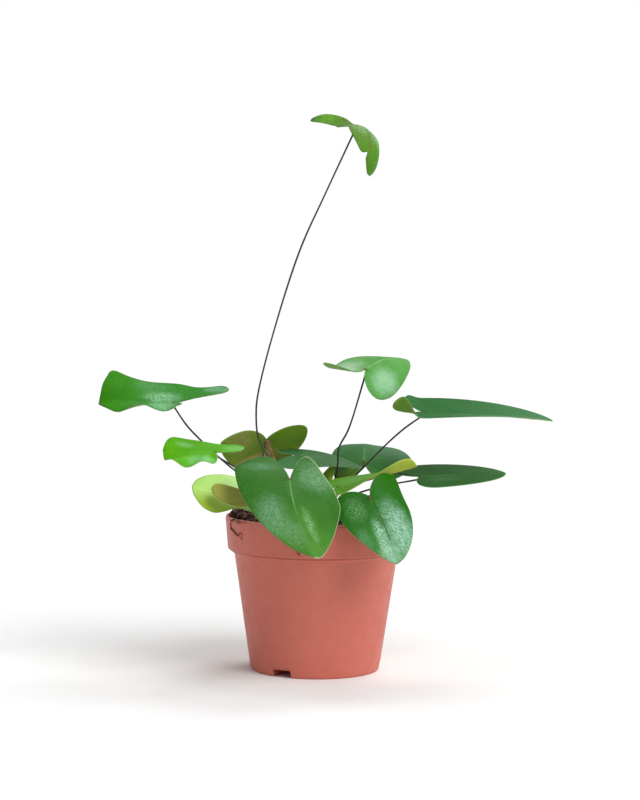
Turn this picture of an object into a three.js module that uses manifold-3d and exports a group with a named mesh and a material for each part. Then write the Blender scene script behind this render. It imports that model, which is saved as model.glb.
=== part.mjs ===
// Potted heart fern: a round nursery pot, its soil, a short rhizome and sixteen fronds.
// Millimetres, +Z up. The origin is the middle of the pot's flat floor. The front of the plant faces -Y.
import * as THREE from "three";
import * as BufferGeometryUtils from "three/addons/utils/BufferGeometryUtils.js";
import Module from "manifold-3d";

const wasm = await Module();
wasm.setup();

const GAP = 0.3;
// The lobe's downward bend is spread over this share of its length, from the joint backwards.
const LOBE_BEND_SHARE = 0.45;
// The margin's wave fades out over this distance beside the midrib.
const WAVE_FREE = 6;
const colours = { pot: [184, 108, 92], soil: [58, 44, 36], crown: [120, 84, 50], stipe: [38, 32, 30] };

const pot = {
  height: 88.8,
  rimRadius: 52.5,
  bandFootRadius: 51,
  bandFootZ: 70,
  bodyTopRadius: 47.2,
  bodyTopZ: 67,
  footRadius: 37.3,
  footChamfer: 0.8,
  wall: 1.5,
  lip: 0.9,
  sides: 56,
};

const drain = {
  angles: [-120, 0, 120],
  width: 11.5,
  height: 4.3,
  innerRadius: 22,
  roof: 1.4,
  holeRadius: 3.5,
  holeAt: 28,
  holeSides: 16,
  overcut: 5,
};

const soil = {
  edgeZ: 85.6,
  domeRise: 8.5,
  roughness: 1.3,
  rings: 9,
  sides: 48,
  crumbs: 26,
  crumbRadius: [0.9, 2.2],
  crumbFreeEdge: 4,
  crumbFreeMiddle: 0.28,
};

const crown = {
  radius: 9,
  bottomZ: 86,
  height: 14,
  scaleDepth: 1.1,
  scaleColumns: 9,
  scaleTwist: 2.2,
  rings: 9,
  sides: 18,
};

const blade = {
  thickness: 0.7,
  hub: 0.16,
};

// A stipe's buried end goes down by its depth and leans the other way from its free end.
const stipe = {
  depth: 16,
  sides: 6,
  segmentLength: 8,
  rootLean: 0.12,
  holeGap: 0.45,
};

// Every frond lists: where its stipe leaves the soil, the points that its stipe passes, the joint
// where the stipe meets the blade, the blade's compass heading, pitch and roll in degrees, its
// outline in millimetres and its bends in degrees. Pairs hold the left and the right half, as seen
// along the midrib from the joint to the tip, and one number stands for both. A half is folded up or
// down along the midrib by fold at the joint, which goes over into tipFold at the tip with the power
// twist. It curls further towards its margin by curl, and by lobeCurl behind curlStart, over
// curlSpan, which are shares of the length. The midrib arches down by arch, and by tipDroop near the
// tip, and the tip lies sway millimetres to the left. The lobe behind the joint bends down by
// lobeBend. The margin waves by wave millimetres, waves times round the blade from a phase. In the
// outline, widest is where the half is widest, as a share of the length, and shoulder says how
// round it runs from there to its lobe.
const heart = {
  roll: 0,
  width: 50,
  lobe: [14, 14],
  widest: 0.12,
  lobeSpread: 0.27,
  tipWidth: 0.2,
  shoulder: 0.6,
  fold: [0, 0],
  tipFold: [0, 0],
  twist: 1,
  curl: [0, 0],
  arch: 0,
  tipDroop: 0,
  sway: 0,
  lobeBend: [0, 0],
  lobeCurl: [0, 0],
  curlStart: 0.5,
  curlSpan: 0.6,
  wave: 0,
  waves: 3,
  phase: 0,
  radius: 0.55,
  spokes: 28,
  rings: [0.34, 0.62, 0.84, 1],
};

const young = {
  ...heart,
  length: 13,
  width: 11,
  lobe: [4, 4],
  radius: 0.45,
  spokes: 16,
  colour: [150, 190, 80],
};

// The fertile blade at the top is cut into lobes: each half runs from the tip round to the joint.
const tallOutline = [
  [
    [40, 0],
    [38.5, 2.5],
    [32, 3],
    [25, 4.5],
    [15, 7.5],
    [6, 10],
    [-2, 11],
    [-7, 8],
    [-6, 2.5],
    [0, 0],
  ],
  [
    [40, 0],
    [38.5, 3],
    [35, 5.5],
    [31, 6.5],
    [28, 2.5],
    [29, 9],
    [24, 11.5],
    [17, 12],
    [10, 10.5],
    [5.5, 8.5],
    [4, 11.5],
    [0.5, 13.5],
    [-1.2, 11.5],
    [1.7, 7],
    [-4, 14.8],
    [-10, 23],
    [-11.5, 23.3],
    [-12, 21],
    [-11, 14],
    [-6, 4],
    [0, 0],
  ],
];

// The large left blade's far half runs back into a narrow lobe.
const largeOutline = [
  [
    [43.5, 0],
    [43, 5],
    [42, 9],
    [39, 13],
    [33, 16.5],
    [25, 20.5],
    [15.2, 24],
    [6, 23],
    [-1, 19.5],
    [-5, 14],
    [-6, 9],
    [-4, 4],
    [0, 0],
  ],
  [
    [43.5, 0],
    [42.5, 8],
    [40.5, 13.5],
    [38, 18],
    [30, 18.5],
    [19, 20.2],
    [10, 21.2],
    [0, 20.6],
    [-10, 18.5],
    [-18, 20],
    [-24.5, 21.7],
    [-28.5, 20],
    [-29.8, 17],
    [-28.5, 14],
    [-24, 12],
    [-18.5, 9.7],
    [-13, 7.3],
    [-6, 4],
    [0, 0],
  ],
];

// The young left blade's near half goes on past the joint in a flap that is turned over the blade.
const youngOutline = [
  [
    [33, 0],
    [31, 6],
    [25, 13],
    [18, 15],
    [12, 11.5],
    [8, 8],
    [3, 5.5],
    [-3, 6.5],
    [-10, 9.5],
    [-18, 13],
    [-25, 14.5],
    [-31, 13],
    [-35, 8],
    [-33, 2],
    [-24, 0],
    [-12, 0],
    [0, 0],
  ],
  [[33, 0], [31, 7], [25, 14], [16, 19], [7, 20], [0, 17], [-4, 11], [-4, 5], [0, 0]],
];

const fronds = {
  front_centre: {
    ...heart,
    foot: [-3, -5],
    via: [[-12, -42, 106]],
    joint: [-14.7, -61, 114.6],
    heading: -86,
    pitch: -32,
    roll: -9,
    length: 51,
    width: 60,
    lobe: [18, 21],
    arch: 30,
    curl: [-8, -14],
    widest: [0.2, -0.18],
    lobeBend: [-20, 5],
    tipFold: [-48, -15],
    fold: [-2, 0],
    lobeSpread: [0.16, 0.2],
    sway: 14,
    shoulder: [0.1, 0.2],
    tipWidth: 0.3,
    colour: [50, 115, 40],
  },
  front_right: {
    ...heart,
    foot: [4, -5],
    via: [[25, -29, 99]],
    joint: [29.9, -50, 104.1],
    heading: -52,
    pitch: -46,
    roll: 4,
    length: 43,
    width: [48, 42],
    lobe: [17, 9],
    arch: 12,
    lobeBend: [0, 0],
    curl: [-14, -14],
    fold: [0, -25],
    spokes: 36,
    sway: -3,
    lobeSpread: [0.45, 0.3],
    shoulder: [0.6, 0.4],
    tipWidth: 0.22,
    colour: [40, 120, 30],
  },
  left_large: {
    ...heart,
    foot: [-8, -1],
    via: [[-44, 7, 111], [-67, 10, 130], [-76, 5, 140]],
    joint: [-83, 0, 152.5],
    heading: 176,
    pitch: 3,
    length: 43.5,
    width: 48,
    lobe: [8, 31],
    arch: 0,
    fold: [-4, 30],
    tipFold: [-31, 85],
    lobeBend: [0, -3],
    twist: 3,
    wave: [2, 0.5],
    waves: 5.8,
    phase: 296,
    outline: largeOutline,
    spokes: 36,
    colour: [70, 145, 50],
  },
  left_small: {
    ...heart,
    foot: [-7, -5],
    via: [[-45, -7, 115.5]],
    joint: [-58.3, -12, 125.3],
    heading: 178,
    pitch: 2,
    length: 30,
    width: 34,
    lobe: [2, 16],
    arch: 0,
    fold: [-22, 15],
    tipFold: [-26, 58],
    widest: 0.4,
    tipWidth: 0.45,
    lobeBend: [0, 0],
    twist: 4,
    wave: [1.8, 0.5],
    waves: 6,
    phase: 119,
    lobeSpread: [0.2, 0.27],
    shoulder: [0.6, 0.6],
    colour: [90, 170, 40],
  },
  left_young: {
    ...heart,
    foot: [-6, -9],
    via: [[-27, -30, 96]],
    joint: [-38, -38, 99],
    heading: 187,
    pitch: 17,
    length: 33,
    width: 40,
    lobe: [26, 9],
    fold: [-40, 32],
    tipFold: [-40, 34],
    lobeBend: [-176, 0],
    spokes: 64,
    rings: [0.25, 0.42, 0.56, 0.7, 0.85, 1],
    outline: youngOutline,
    colour: [150, 195, 70],
  },
  back_left: {
    ...heart,
    foot: [-5, 6],
    via: [[-24, 15, 118]],
    joint: [-30, 22, 131],
    heading: 112,
    pitch: -55,
    roll: -6,
    length: 30,
    width: [59, 53],
    lobe: [8, 9],
    arch: 10,
    lobeSpread: [0.24, 0.33],
    widest: [0.0, 0],
    shoulder: [0.3, 0.5],
    tipWidth: 0.1,
    colour: [105, 130, 55],
  },
  back_middle: {
    ...heart,
    foot: [-2, 3],
    via: [[-8, 10, 111]],
    joint: [-11.1, 12, 122.4],
    heading: 0,
    pitch: -3,
    roll: 9,
    length: 38,
    width: [33, 42],
    lobe: [12, 11],
    arch: 15,
    fold: [0, -9],
    tipFold: [0, 5],
    widest: [0.12, -0.1],
    colour: [65, 120, 75],
  },
  back_right: {
    ...heart,
    foot: [3, 6],
    via: [[20, 25, 107]],
    joint: [27.5, 24, 118],
    heading: 85,
    pitch: 42,
    length: 40,
    width: [40, 60],
    lobe: [14, 7],
    arch: 65,
    fold: [-8, -40],
    widest: [0.12, 0.45],
    lobeSpread: [0.27, 0.2],
    shoulder: [0.6, 0.5],
    colour: [75, 125, 80],
  },
  middle_small: {
    ...heart,
    foot: [5, 1],
    via: [[10.5, -0.5, 110], [12, -5, 119], [12.5, -5, 128], [18, -4, 139]],
    joint: [27.5, 0, 173.5],
    heading: 48,
    pitch: 28,
    length: 40,
    width: 44,
    lobe: [22, 9],
    arch: 42,
    fold: [6, -50],
    curl: [0, -30],
    tipFold: [0, -30],
    lobeBend: [-45, 0],
    colour: [95, 165, 75],
  },
  right_large: {
    ...heart,
    foot: [8, 2],
    via: [[31, 4, 120.5], [49, 5, 138]],
    joint: [62, 5, 149],
    heading: 0,
    pitch: 0,
    length: 75,
    width: 54,
    lobe: [11, 19],
    arch: 7,
    lobeBend: [-20, 0],
    fold: [15, -5],
    tipFold: [22, 5],
    lobeCurl: [0, 78],
    curlStart: -0.05,
    curlSpan: 0.14,
    spokes: 36,
    widest: [-0.08, 0.12],
    colour: [70, 130, 85],
  },
  right_low: {
    ...heart,
    foot: [8, -4],
    via: [[31, -9, 105]],
    joint: [59, -11, 112.6],
    heading: 10,
    pitch: 4,
    roll: 12,
    length: 51,
    width: 44,
    lobe: [12, 4],
    arch: 4,
    tipWidth: 0.3,
    colour: [50, 105, 45],
  },
  middle_young: {
    ...heart,
    foot: [1, -9],
    via: [[6, -16, 101]],
    joint: [12, -22, 107],
    heading: 8,
    pitch: 14.5,
    length: 47,
    width: [26, 24],
    lobe: [9, 9],
    fold: [18, -16],
    tipFold: [-10, 50],
    widest: 0.3,
    tipWidth: 0.7,
    colour: [125, 170, 60],
  },
  tall: {
    ...heart,
    foot: [-5, -1],
    via: [
      [-28.5, -4, 123.5],
      [-34, -3, 134],
      [-35.3, -3, 148],
      [-34.5, -2, 158],
      [-27, 0, 190],
      [-11, 2, 242],
      [3, 4, 274],
    ],
    joint: [20.7, 6, 314.3],
    heading: -60,
    pitch: -5,
    length: 38.5,
    width: 22,
    lobe: [10, 10],
    arch: 60,
    fold: [-35, 0],
    tipFold: [-35, 0],
    spokes: 44,
    outline: tallOutline,
    curl: [0, -14],
    lobeBend: [0, -60],
    tipDroop: 55,
    sway: 1.5,
    colour: [105, 165, 55],
  },
};

Object.assign(fronds, {
  young_right: { ...young, foot: [6, 5], via: [], joint: [15, 9, 107], heading: 25, pitch: 33 },
  young_middle: { ...young, foot: [3, 1], via: [], joint: [4, 4, 107], heading: 40, pitch: 55 },
  young_front: { ...young, foot: [9, -8], via: [], joint: [21, -16, 101], heading: 0, pitch: 5 },
});

const radians = THREE.MathUtils.degToRad;

/** A closed mesh with merged corners, as a solid that can be joined and cut. */
function toSolid(geometry) {
  const bare = geometry.clone();
  bare.deleteAttribute("normal");
  bare.deleteAttribute("uv");
  const merged = BufferGeometryUtils.mergeVertices(bare, 1e-4);
  const mesh = new wasm.Mesh({
    numProp: 3,
    vertProperties: new Float32Array(merged.attributes.position.array),
    triVerts: new Uint32Array(merged.index.array),
  });
  return new wasm.Manifold(mesh);
}

/** A solid's surface as a three.js geometry. */
function toGeometry(solid) {
  const mesh = solid.getMesh();
  const geometry = new THREE.BufferGeometry();
  geometry.setAttribute("position", new THREE.BufferAttribute(new Float32Array(mesh.vertProperties), 3));
  geometry.setIndex(new THREE.BufferAttribute(new Uint32Array(mesh.triVerts), 1));
  geometry.computeVertexNormals();
  return geometry;
}

/** A profile of [radius, z] points turned round the Z axis. */
function turned(profile, sides) {
  const points = profile.map(([radius, z]) => new THREE.Vector2(radius, z));
  return new THREE.LatheGeometry(points, sides).rotateX(Math.PI / 2);
}

/** Repeatable pseudo-random numbers from 0 to 1. */
function randomSource(seed) {
  let state = seed;
  return () => {
    state = (Math.imul(state, 1664525) + 1013904223) >>> 0;
    return state / 2 ** 32;
  };
}

/** A smooth bump field between -1 and 1, for rough ground. */
function bumps(x, y) {
  return (
    0.5 * Math.sin(0.31 * x + 1.3) * Math.cos(0.27 * y - 0.4) +
    0.3 * Math.sin(0.83 * x - 0.67 * y) +
    0.2 * Math.cos(1.31 * y + 0.59 * x)
  );
}

/** The outer radius of the tapered pot body at height z. */
function bodyRadius(z) {
  return pot.footRadius + ((pot.bodyTopRadius - pot.footRadius) * z) / pot.bodyTopZ;
}

function potShell() {
  const { height, rimRadius, bandFootRadius, bandFootZ, bodyTopRadius, bodyTopZ, wall, lip } = pot;
  const profile = [
    [0, 0],
    [pot.footRadius - pot.footChamfer, 0],
    [pot.footRadius, pot.footChamfer],
    [bodyTopRadius, bodyTopZ],
    [bandFootRadius - lip, bandFootZ - lip],
    [bandFootRadius, bandFootZ],
    [rimRadius, height - 2 * lip],
    [rimRadius - 0.3 * lip, height - 0.4 * lip],
    [rimRadius - lip, height],
    [rimRadius - wall, height - 0.4 * lip],
    [bandFootRadius - wall, bandFootZ + wall],
    [bodyTopRadius - wall, bodyTopZ + wall],
    [bodyRadius(wall) - wall, wall],
    [0, wall],
  ];
  return toSolid(turned(profile, pot.sides));
}

/** A box lying along a drainage channel, from the inner radius out to the given one. */
function channelBox(angle, outerRadius, width, topZ, bottomZ, innerRadius) {
  const length = outerRadius - innerRadius;
  const box = new THREE.BoxGeometry(length, width, topZ - bottomZ);
  box.translate(innerRadius + length / 2, 0, (topZ + bottomZ) / 2);
  return toSolid(box.rotateZ(radians(angle)));
}

/** The raised hoods over the drainage channels, grown by a margin on the soil's side. */
function drainHoods(margin) {
  const { roof, width, height, innerRadius, angles } = drain;
  const outer = pot.footRadius - pot.wall / 2;
  const hoods = angles.map((angle) =>
    channelBox(
      angle,
      outer,
      width + 2 * (roof + margin),
      height + roof + margin,
      pot.wall / 2,
      innerRadius - roof - margin,
    ),
  );
  return wasm.Manifold.union(hoods);
}

function potSolid() {
  const { width, height, innerRadius, angles, holeRadius, holeAt, holeSides, overcut } = drain;
  let solid = potShell().add(drainHoods(0));
  for (const angle of angles) {
    const mouth = pot.footRadius + overcut;
    solid = solid.subtract(channelBox(angle, mouth, width, height, -overcut, innerRadius));
    const hole = new THREE.CylinderGeometry(holeRadius, holeRadius, 2 * overcut, holeSides);
    hole.rotateX(Math.PI / 2).translate(holeAt, 0, height).rotateZ(radians(angle));
    solid = solid.subtract(toSolid(hole));
  }
  return solid;
}

/** The inner radius of the pot's rim band at height z. */
function bandInnerRadius(z) {
  const share = (z - pot.bandFootZ) / (pot.height - pot.bandFootZ);
  return THREE.MathUtils.lerp(pot.bandFootRadius, pot.rimRadius, share) - pot.wall;
}

/** The height of the soil's bare surface at (x, y). */
function soilTop(x, y) {
  const share = Math.min(1, Math.hypot(x, y) / bandInnerRadius(soil.edgeZ));
  const dome = soil.edgeZ + soil.domeRise * (1 - share ** 2);
  return dome + soil.roughness * (1 - 0.6 * share) * bumps(x, y);
}

function soilSolid(stipeHoles) {
  const inner = pot.wall + GAP;
  const edge = bandInnerRadius(soil.edgeZ) - 1.5 * GAP;
  const profile = [
    [0, inner],
    [bodyRadius(inner) - inner, inner],
    [pot.bodyTopRadius - inner, pot.bodyTopZ + inner],
    [pot.bandFootRadius - inner, pot.bandFootZ + inner],
  ];
  for (let ring = soil.rings; ring >= 0; ring -= 1) {
    profile.push([(edge * ring) / soil.rings, soil.edgeZ]);
  }
  const geometry = turned(profile, soil.sides);
  const position = geometry.attributes.position;
  for (let i = 0; i < position.count; i += 1) {
    if (position.getZ(i) > soil.edgeZ - 0.01) {
      position.setZ(i, soilTop(position.getX(i), position.getY(i)));
    }
  }
  const random = randomSource(7);
  const crumbs = Array.from({ length: soil.crumbs }, () => {
    const angle = 2 * Math.PI * random();
    const share = THREE.MathUtils.lerp(soil.crumbFreeMiddle ** 2, 1, random());
    const reach = (edge - soil.crumbFreeEdge) * Math.sqrt(share);
    const size = THREE.MathUtils.lerp(...soil.crumbRadius, random());
    const x = reach * Math.cos(angle);
    const y = reach * Math.sin(angle);
    const crumb = new THREE.IcosahedronGeometry(size);
    crumb.rotateX(Math.PI * random()).rotateZ(Math.PI * random());
    return toSolid(crumb.translate(x, y, soilTop(x, y) + 0.1 * size));
  });
  return wasm.Manifold.union([toSolid(geometry), ...crumbs])
    .subtract(drainHoods(GAP))
    .subtract(crownSolid(1.5 * GAP))
    .subtract(stipeHoles);
}

/** The short scaly rhizome, grown by a margin for the pocket that it sits in. */
function crownSolid(margin) {
  const { radius, bottomZ, height, rings, sides, scaleDepth, scaleColumns, scaleTwist } = crown;
  const profile = [];
  for (let ring = 0; ring <= rings; ring += 1) {
    const angle = -Math.PI / 2 + (Math.PI * ring) / rings;
    const reach = ring % rings === 0 ? 0 : (radius + margin) * Math.cos(angle);
    profile.push([reach, bottomZ + height / 2 + (height / 2 + margin) * Math.sin(angle)]);
  }
  const geometry = turned(profile, sides);
  const position = geometry.attributes.position;
  for (let i = 0; i < position.count; i += 1) {
    const x = position.getX(i);
    const y = position.getY(i);
    const z = position.getZ(i);
    const scales = Math.sin(scaleColumns * Math.atan2(y, x) + scaleTwist * z);
    const swell = 1 + ((scaleDepth / radius) * (scales - 1)) / 2;
    position.setXY(i, x * swell, y * swell);
  }
  return toSolid(geometry);
}

/** The point reached after a distance along an arc that starts at an angle and bends evenly. */
function alongArc(distance, startAngle, bend) {
  if (Math.abs(bend) < 1e-4) {
    return [distance * Math.cos(startAngle), distance * Math.sin(startAngle)];
  }
  const endAngle = startAngle + bend;
  const radius = distance / bend;
  return [
    radius * (Math.sin(endAngle) - Math.sin(startAngle)),
    radius * (Math.cos(startAngle) - Math.cos(endAngle)),
  ];
}

/** The value for one half of a blade, from a pair or from one number for both halves. */
function ofHalf(value, side) {
  return Array.isArray(value) ? value[side] : value;
}

/** One half of a flat heart outline, from its tip round to the sinus at the joint. */
function heartHalf(frond, side) {
  const { length, tipWidth } = frond;
  const lobe = frond.lobe[side];
  const width = ofHalf(frond.width, side);
  const half = width / 2;
  const wideU = length * ofHalf(frond.widest, side);
  const lobeV = width * ofHalf(frond.lobeSpread, side);
  const shoulder = ofHalf(frond.shoulder, side) * (wideU + lobe);
  const path = new THREE.CurvePath();
  const curve = (...points) => {
    path.add(new THREE.CubicBezierCurve(...points.map(([u, v]) => new THREE.Vector2(u, v))));
  };
  curve(
    [length, 0],
    [length * 0.94, width * tipWidth],
    [wideU + 0.42 * (length - wideU), half],
    [wideU, half],
  );
  curve([wideU, half], [wideU - shoulder, half], [-lobe, 1.5 * lobeV], [-lobe, lobeV]);
  curve([-lobe, lobeV], [-lobe, 0.5 * lobeV], [-0.35 * lobe, 0.02 * width], [0, 0]);
  return path;
}

/** One half of a blade's flat outline, as a curve from its tip to the joint. */
function halfOutline(frond, side) {
  if (!frond.outline) {
    return heartHalf(frond, side);
  }
  return new THREE.SplineCurve(frond.outline[side].map(([u, v]) => new THREE.Vector2(u, v)));
}

/** The flat outline's points: the left half from tip to joint, then the right half back. */
function flatOutline(frond) {
  const [left, right] = [0, 1].map((side) => halfOutline(frond, side).getSpacedPoints(frond.spokes / 2));
  const back = right.slice(1, -1).reverse().map(({ x, y }) => new THREE.Vector2(x, -y));
  return [...left, ...back];
}

/** Bends a flat blade point into the blade's own frame, with X along the midrib and Z up. */
function bendBlade(frond, u, v, reach, turn) {
  const side = v >= 0 ? 0 : 1;
  const sign = v >= 0 ? 1 : -1;
  const halfWidth = ofHalf(frond.width, side) / 2;
  const spread = Math.abs(v) / halfWidth;
  const share = u / frond.length;
  const tipShare = Math.max(0, share) ** frond.twist;
  const fold = radians(THREE.MathUtils.lerp(frond.fold[side], frond.tipFold[side], tipShare));
  const rear = THREE.MathUtils.smoothstep(frond.curlStart - share, 0, frond.curlSpan);
  const curl = radians(frond.curl[side] + frond.lobeCurl[side] * rear) * spread;
  const [across, rise] = alongArc(Math.abs(v), fold, curl);
  const slope = fold + curl;
  const beside = Math.min(1, Math.abs(v) / WAVE_FREE);
  const swing = Math.sin(2 * Math.PI * frond.waves * turn + radians(frond.phase));
  const wave = ofHalf(frond.wave, side) * reach ** 2 * beside * swing;
  if (u >= 0) {
    const bend = -radians(frond.arch) * share - radians(frond.tipDroop) * share ** 3;
    const [along, drop] = alongArc(u, 0, bend);
    const lift = rise + wave * Math.cos(slope);
    const y = sign * (across - wave * Math.sin(slope)) + frond.sway * share ** 2;
    return new THREE.Vector3(along - lift * Math.sin(bend), y, drop + lift * Math.cos(bend));
  }
  const bendLength = LOBE_BEND_SHARE * frond.lobe[side];
  const bendEnd = Math.max(u, -bendLength);
  const bend = (radians(frond.lobeBend[side]) * -bendEnd) / bendLength;
  const [arcX, arcZ] = alongArc(bendEnd, 0, bend);
  const along = arcX + (u - bendEnd) * Math.cos(bend);
  const lift = arcZ + (u - bendEnd) * Math.sin(bend) + wave;
  const y = sign * (across - lift * Math.sin(slope));
  return new THREE.Vector3(along, y, rise + lift * Math.cos(slope));
}

/** The turn from a blade's own frame to the plant's. */
function bladeMatrix(frond) {
  const matrix = new THREE.Matrix4().makeRotationZ(radians(frond.heading));
  matrix.multiply(new THREE.Matrix4().makeRotationY(-radians(frond.pitch)));
  matrix.multiply(new THREE.Matrix4().makeRotationX(radians(frond.roll)));
  return matrix.setPosition(...frond.joint);
}

/** The blade's middle surface: a hub and rings of points out to the outline, with its triangles. */
function bladeSheet(frond) {
  const matrix = bladeMatrix(frond);
  const outline = flatOutline(frond);
  const hub = new THREE.Vector2(frond.length * blade.hub, 0);
  const points = [bendBlade(frond, hub.x, hub.y, 0, 0).applyMatrix4(matrix)];
  for (const reach of frond.rings) {
    outline.forEach((edge, spoke) => {
      const flat = hub.clone().lerp(edge, reach);
      const bent = bendBlade(frond, flat.x, flat.y, reach, spoke / outline.length);
      points.push(bent.applyMatrix4(matrix));
    });
  }
  const count = outline.length;
  const triangles = [];
  for (let spoke = 0; spoke < count; spoke += 1) {
    const next = (spoke + 1) % count;
    triangles.push([0, 1 + spoke, 1 + next]);
    for (let ring = 1; ring < frond.rings.length; ring += 1) {
      const inner = 1 + (ring - 1) * count;
      const outer = inner + count;
      const leftHalf = spoke < count / 2;
      if (leftHalf) {
        triangles.push([inner + spoke, outer + spoke, outer + next]);
        triangles.push([inner + spoke, outer + next, inner + next]);
      } else {
        triangles.push([inner + spoke, outer + spoke, inner + next]);
        triangles.push([inner + next, outer + spoke, outer + next]);
      }
    }
  }
  return { points, triangles, count };
}

/** A closed blade: the middle surface offset to both faces and joined round the edge. */
function bladeGeometry(frond) {
  const { points, triangles, count } = bladeSheet(frond);
  const sheet = new THREE.BufferGeometry().setFromPoints(points);
  sheet.setIndex(triangles.flat());
  sheet.computeVertexNormals();
  const normals = sheet.attributes.normal;
  const normal = new THREE.Vector3();
  const offset = (point, i, distance) => {
    normal.fromBufferAttribute(normals, i);
    return point.clone().addScaledVector(normal, distance);
  };
  const upper = points.map((point, i) => offset(point, i, blade.thickness / 2));
  const lower = points.map((point, i) => offset(point, i, -blade.thickness / 2));
  const faces = [...triangles];
  const below = points.length;
  for (const [a, b, c] of triangles) {
    faces.push([below + a, below + c, below + b]);
  }
  const edge = points.length - count;
  for (let spoke = 0; spoke < count; spoke += 1) {
    const here = edge + spoke;
    const next = edge + ((spoke + 1) % count);
    faces.push([here, below + here, below + next], [here, below + next, next]);
  }
  const geometry = new THREE.BufferGeometry().setFromPoints([...upper, ...lower]);
  geometry.setIndex(faces.flat());
  geometry.computeVertexNormals();
  return geometry;
}

/** A round bar's cross-section, as a polygon with flat sides. */
function roundSection(radius, sides) {
  const corners = Array.from({ length: sides }, (_, i) => {
    const angle = (2 * Math.PI * i) / sides;
    return new THREE.Vector2(radius * Math.cos(angle), radius * Math.sin(angle));
  });
  return new THREE.Shape(corners);
}

/** A stretch of a curve between two shares of its length. */
class Stretch extends THREE.Curve {
  constructor(curve, from, to) {
    super();
    this.curve = curve;
    this.from = from;
    this.to = to;
  }

  getPoint(share, target) {
    return this.curve.getPointAt(THREE.MathUtils.lerp(this.from, this.to, share), target);
  }
}

/** The line that a stipe follows, from the bottom of its hole to just under the blade's joint. */
function stipeCurve(frond) {
  const [x, y] = frond.foot;
  const surface = new THREE.Vector3(x, y, soilTop(x, y));
  const first = new THREE.Vector3(...(frond.via[0] ?? frond.joint));
  const lean = (stipe.rootLean * stipe.depth) / surface.distanceTo(first);
  const bottom = surface.clone();
  bottom.x -= lean * (first.x - x);
  bottom.y -= lean * (first.y - y);
  bottom.z -= stipe.depth;
  const drop = blade.thickness / 2 + frond.radius + 2 * GAP;
  const end = new THREE.Vector3(0, 0, -drop).applyMatrix4(bladeMatrix(frond));
  const points = [bottom, surface, ...frond.via.map((point) => new THREE.Vector3(...point)), end];
  return new THREE.CatmullRomCurve3(points, false, "centripetal");
}

/** A bar along a curve that starts a little way up it, with the same steps whatever its radius. */
function bar(curve, start, radius) {
  const steps = Math.max(4, Math.round(curve.getLength() / stipe.segmentLength));
  const extrudePath = new Stretch(curve, start / curve.getLength(), 1);
  const options = { steps, bevelEnabled: false, extrudePath };
  return new THREE.ExtrudeGeometry(roundSection(radius, stipe.sides), options);
}

function stipeGeometry(frond) {
  return bar(stipeCurve(frond), GAP, frond.radius);
}

/** The hole in soil and rhizome that a stipe stands in. */
function stipeHole(frond) {
  return toSolid(bar(stipeCurve(frond), 0, frond.radius + stipe.holeGap));
}

function named(name, geometry, [r, g, b], roughness) {
  const material = new THREE.MeshStandardMaterial({ roughness, metalness: 0 });
  material.color.setRGB(r / 255, g / 255, b / 255, THREE.SRGBColorSpace);
  const mesh = new THREE.Mesh(geometry, material);
  mesh.name = name;
  return mesh;
}

const stipeHoles = wasm.Manifold.union(Object.values(fronds).map(stipeHole));

const group = new THREE.Group();
group.add(named("pot", toGeometry(potSolid()), colours.pot, 0.45));
group.add(named("soil", toGeometry(soilSolid(stipeHoles)), colours.soil, 0.95));
group.add(named("crown", toGeometry(crownSolid(0).subtract(stipeHoles)), colours.crown, 0.9));
for (const [name, frond] of Object.entries(fronds)) {
  group.add(named(`${name}_blade`, bladeGeometry(frond), frond.colour, 0.4));
  group.add(named(`${name}_stipe`, stipeGeometry(frond), colours.stipe, 0.3));
}

export default group;
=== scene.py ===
"""Looks of a potted heart fern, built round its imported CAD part.

Every blade, stipe, the pot, the soil and the crown are rebuilt finer than in the part, from the same
sizes, and get hairs, veins, crumbs, fibres and procedural materials. Sizes are in millimetres and
angles in degrees; meshes are written in metres. The front of the plant faces -Y and +Z is up.
"""

import logging
import math
import random
from dataclasses import dataclass
from enum import Enum
from typing import Union

import bmesh
import bpy
from mathutils import Matrix, Vector, noise

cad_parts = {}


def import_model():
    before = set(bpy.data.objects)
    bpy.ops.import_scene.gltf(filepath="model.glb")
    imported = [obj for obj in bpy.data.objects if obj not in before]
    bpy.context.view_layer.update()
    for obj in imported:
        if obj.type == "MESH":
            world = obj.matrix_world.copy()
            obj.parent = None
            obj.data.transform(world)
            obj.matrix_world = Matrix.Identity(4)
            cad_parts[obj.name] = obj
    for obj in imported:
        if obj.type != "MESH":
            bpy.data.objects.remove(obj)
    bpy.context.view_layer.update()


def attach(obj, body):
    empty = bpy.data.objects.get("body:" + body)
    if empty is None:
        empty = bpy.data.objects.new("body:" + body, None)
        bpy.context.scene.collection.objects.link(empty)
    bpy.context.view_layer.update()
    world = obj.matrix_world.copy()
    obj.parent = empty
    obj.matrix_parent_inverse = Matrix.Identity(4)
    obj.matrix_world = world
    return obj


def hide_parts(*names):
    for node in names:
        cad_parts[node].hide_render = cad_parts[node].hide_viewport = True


LOG = logging.getLogger("heart_fern")
MM = 0.001
BODY = "root"
SEED = 11
FLAT_UV = "flat"
MARGIN_LAYER = "margin"
UV_PER_MM = 0.01

# A lobe bends over this share of its length, and waves fade out this near to the midrib.
LOBE_BEND_SHARE = 0.45
WAVE_FREE = 6.0

# So many joint hairs stand on each millimetre of a stipe.
JOINT_HAIRS_PER_MM = 26 / 1.2

Pair = tuple[float, float]
Triple = tuple[float, float, float]
Halves = Union[float, Pair]
Feed = Union[float, tuple, bpy.types.NodeSocket]


# Numbers


def lerp(start: float, end: float, share: float) -> float:
    """Return the value a share of the way from start to end."""
    return start + (end - start) * share


def smoothstep(value: float, low: float, high: float) -> float:
    """Return a soft step from 0 at low to 1 at high."""
    share = min(1.0, max(0.0, (value - low) / (high - low)))
    return share * share * (3 - 2 * share)


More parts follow.
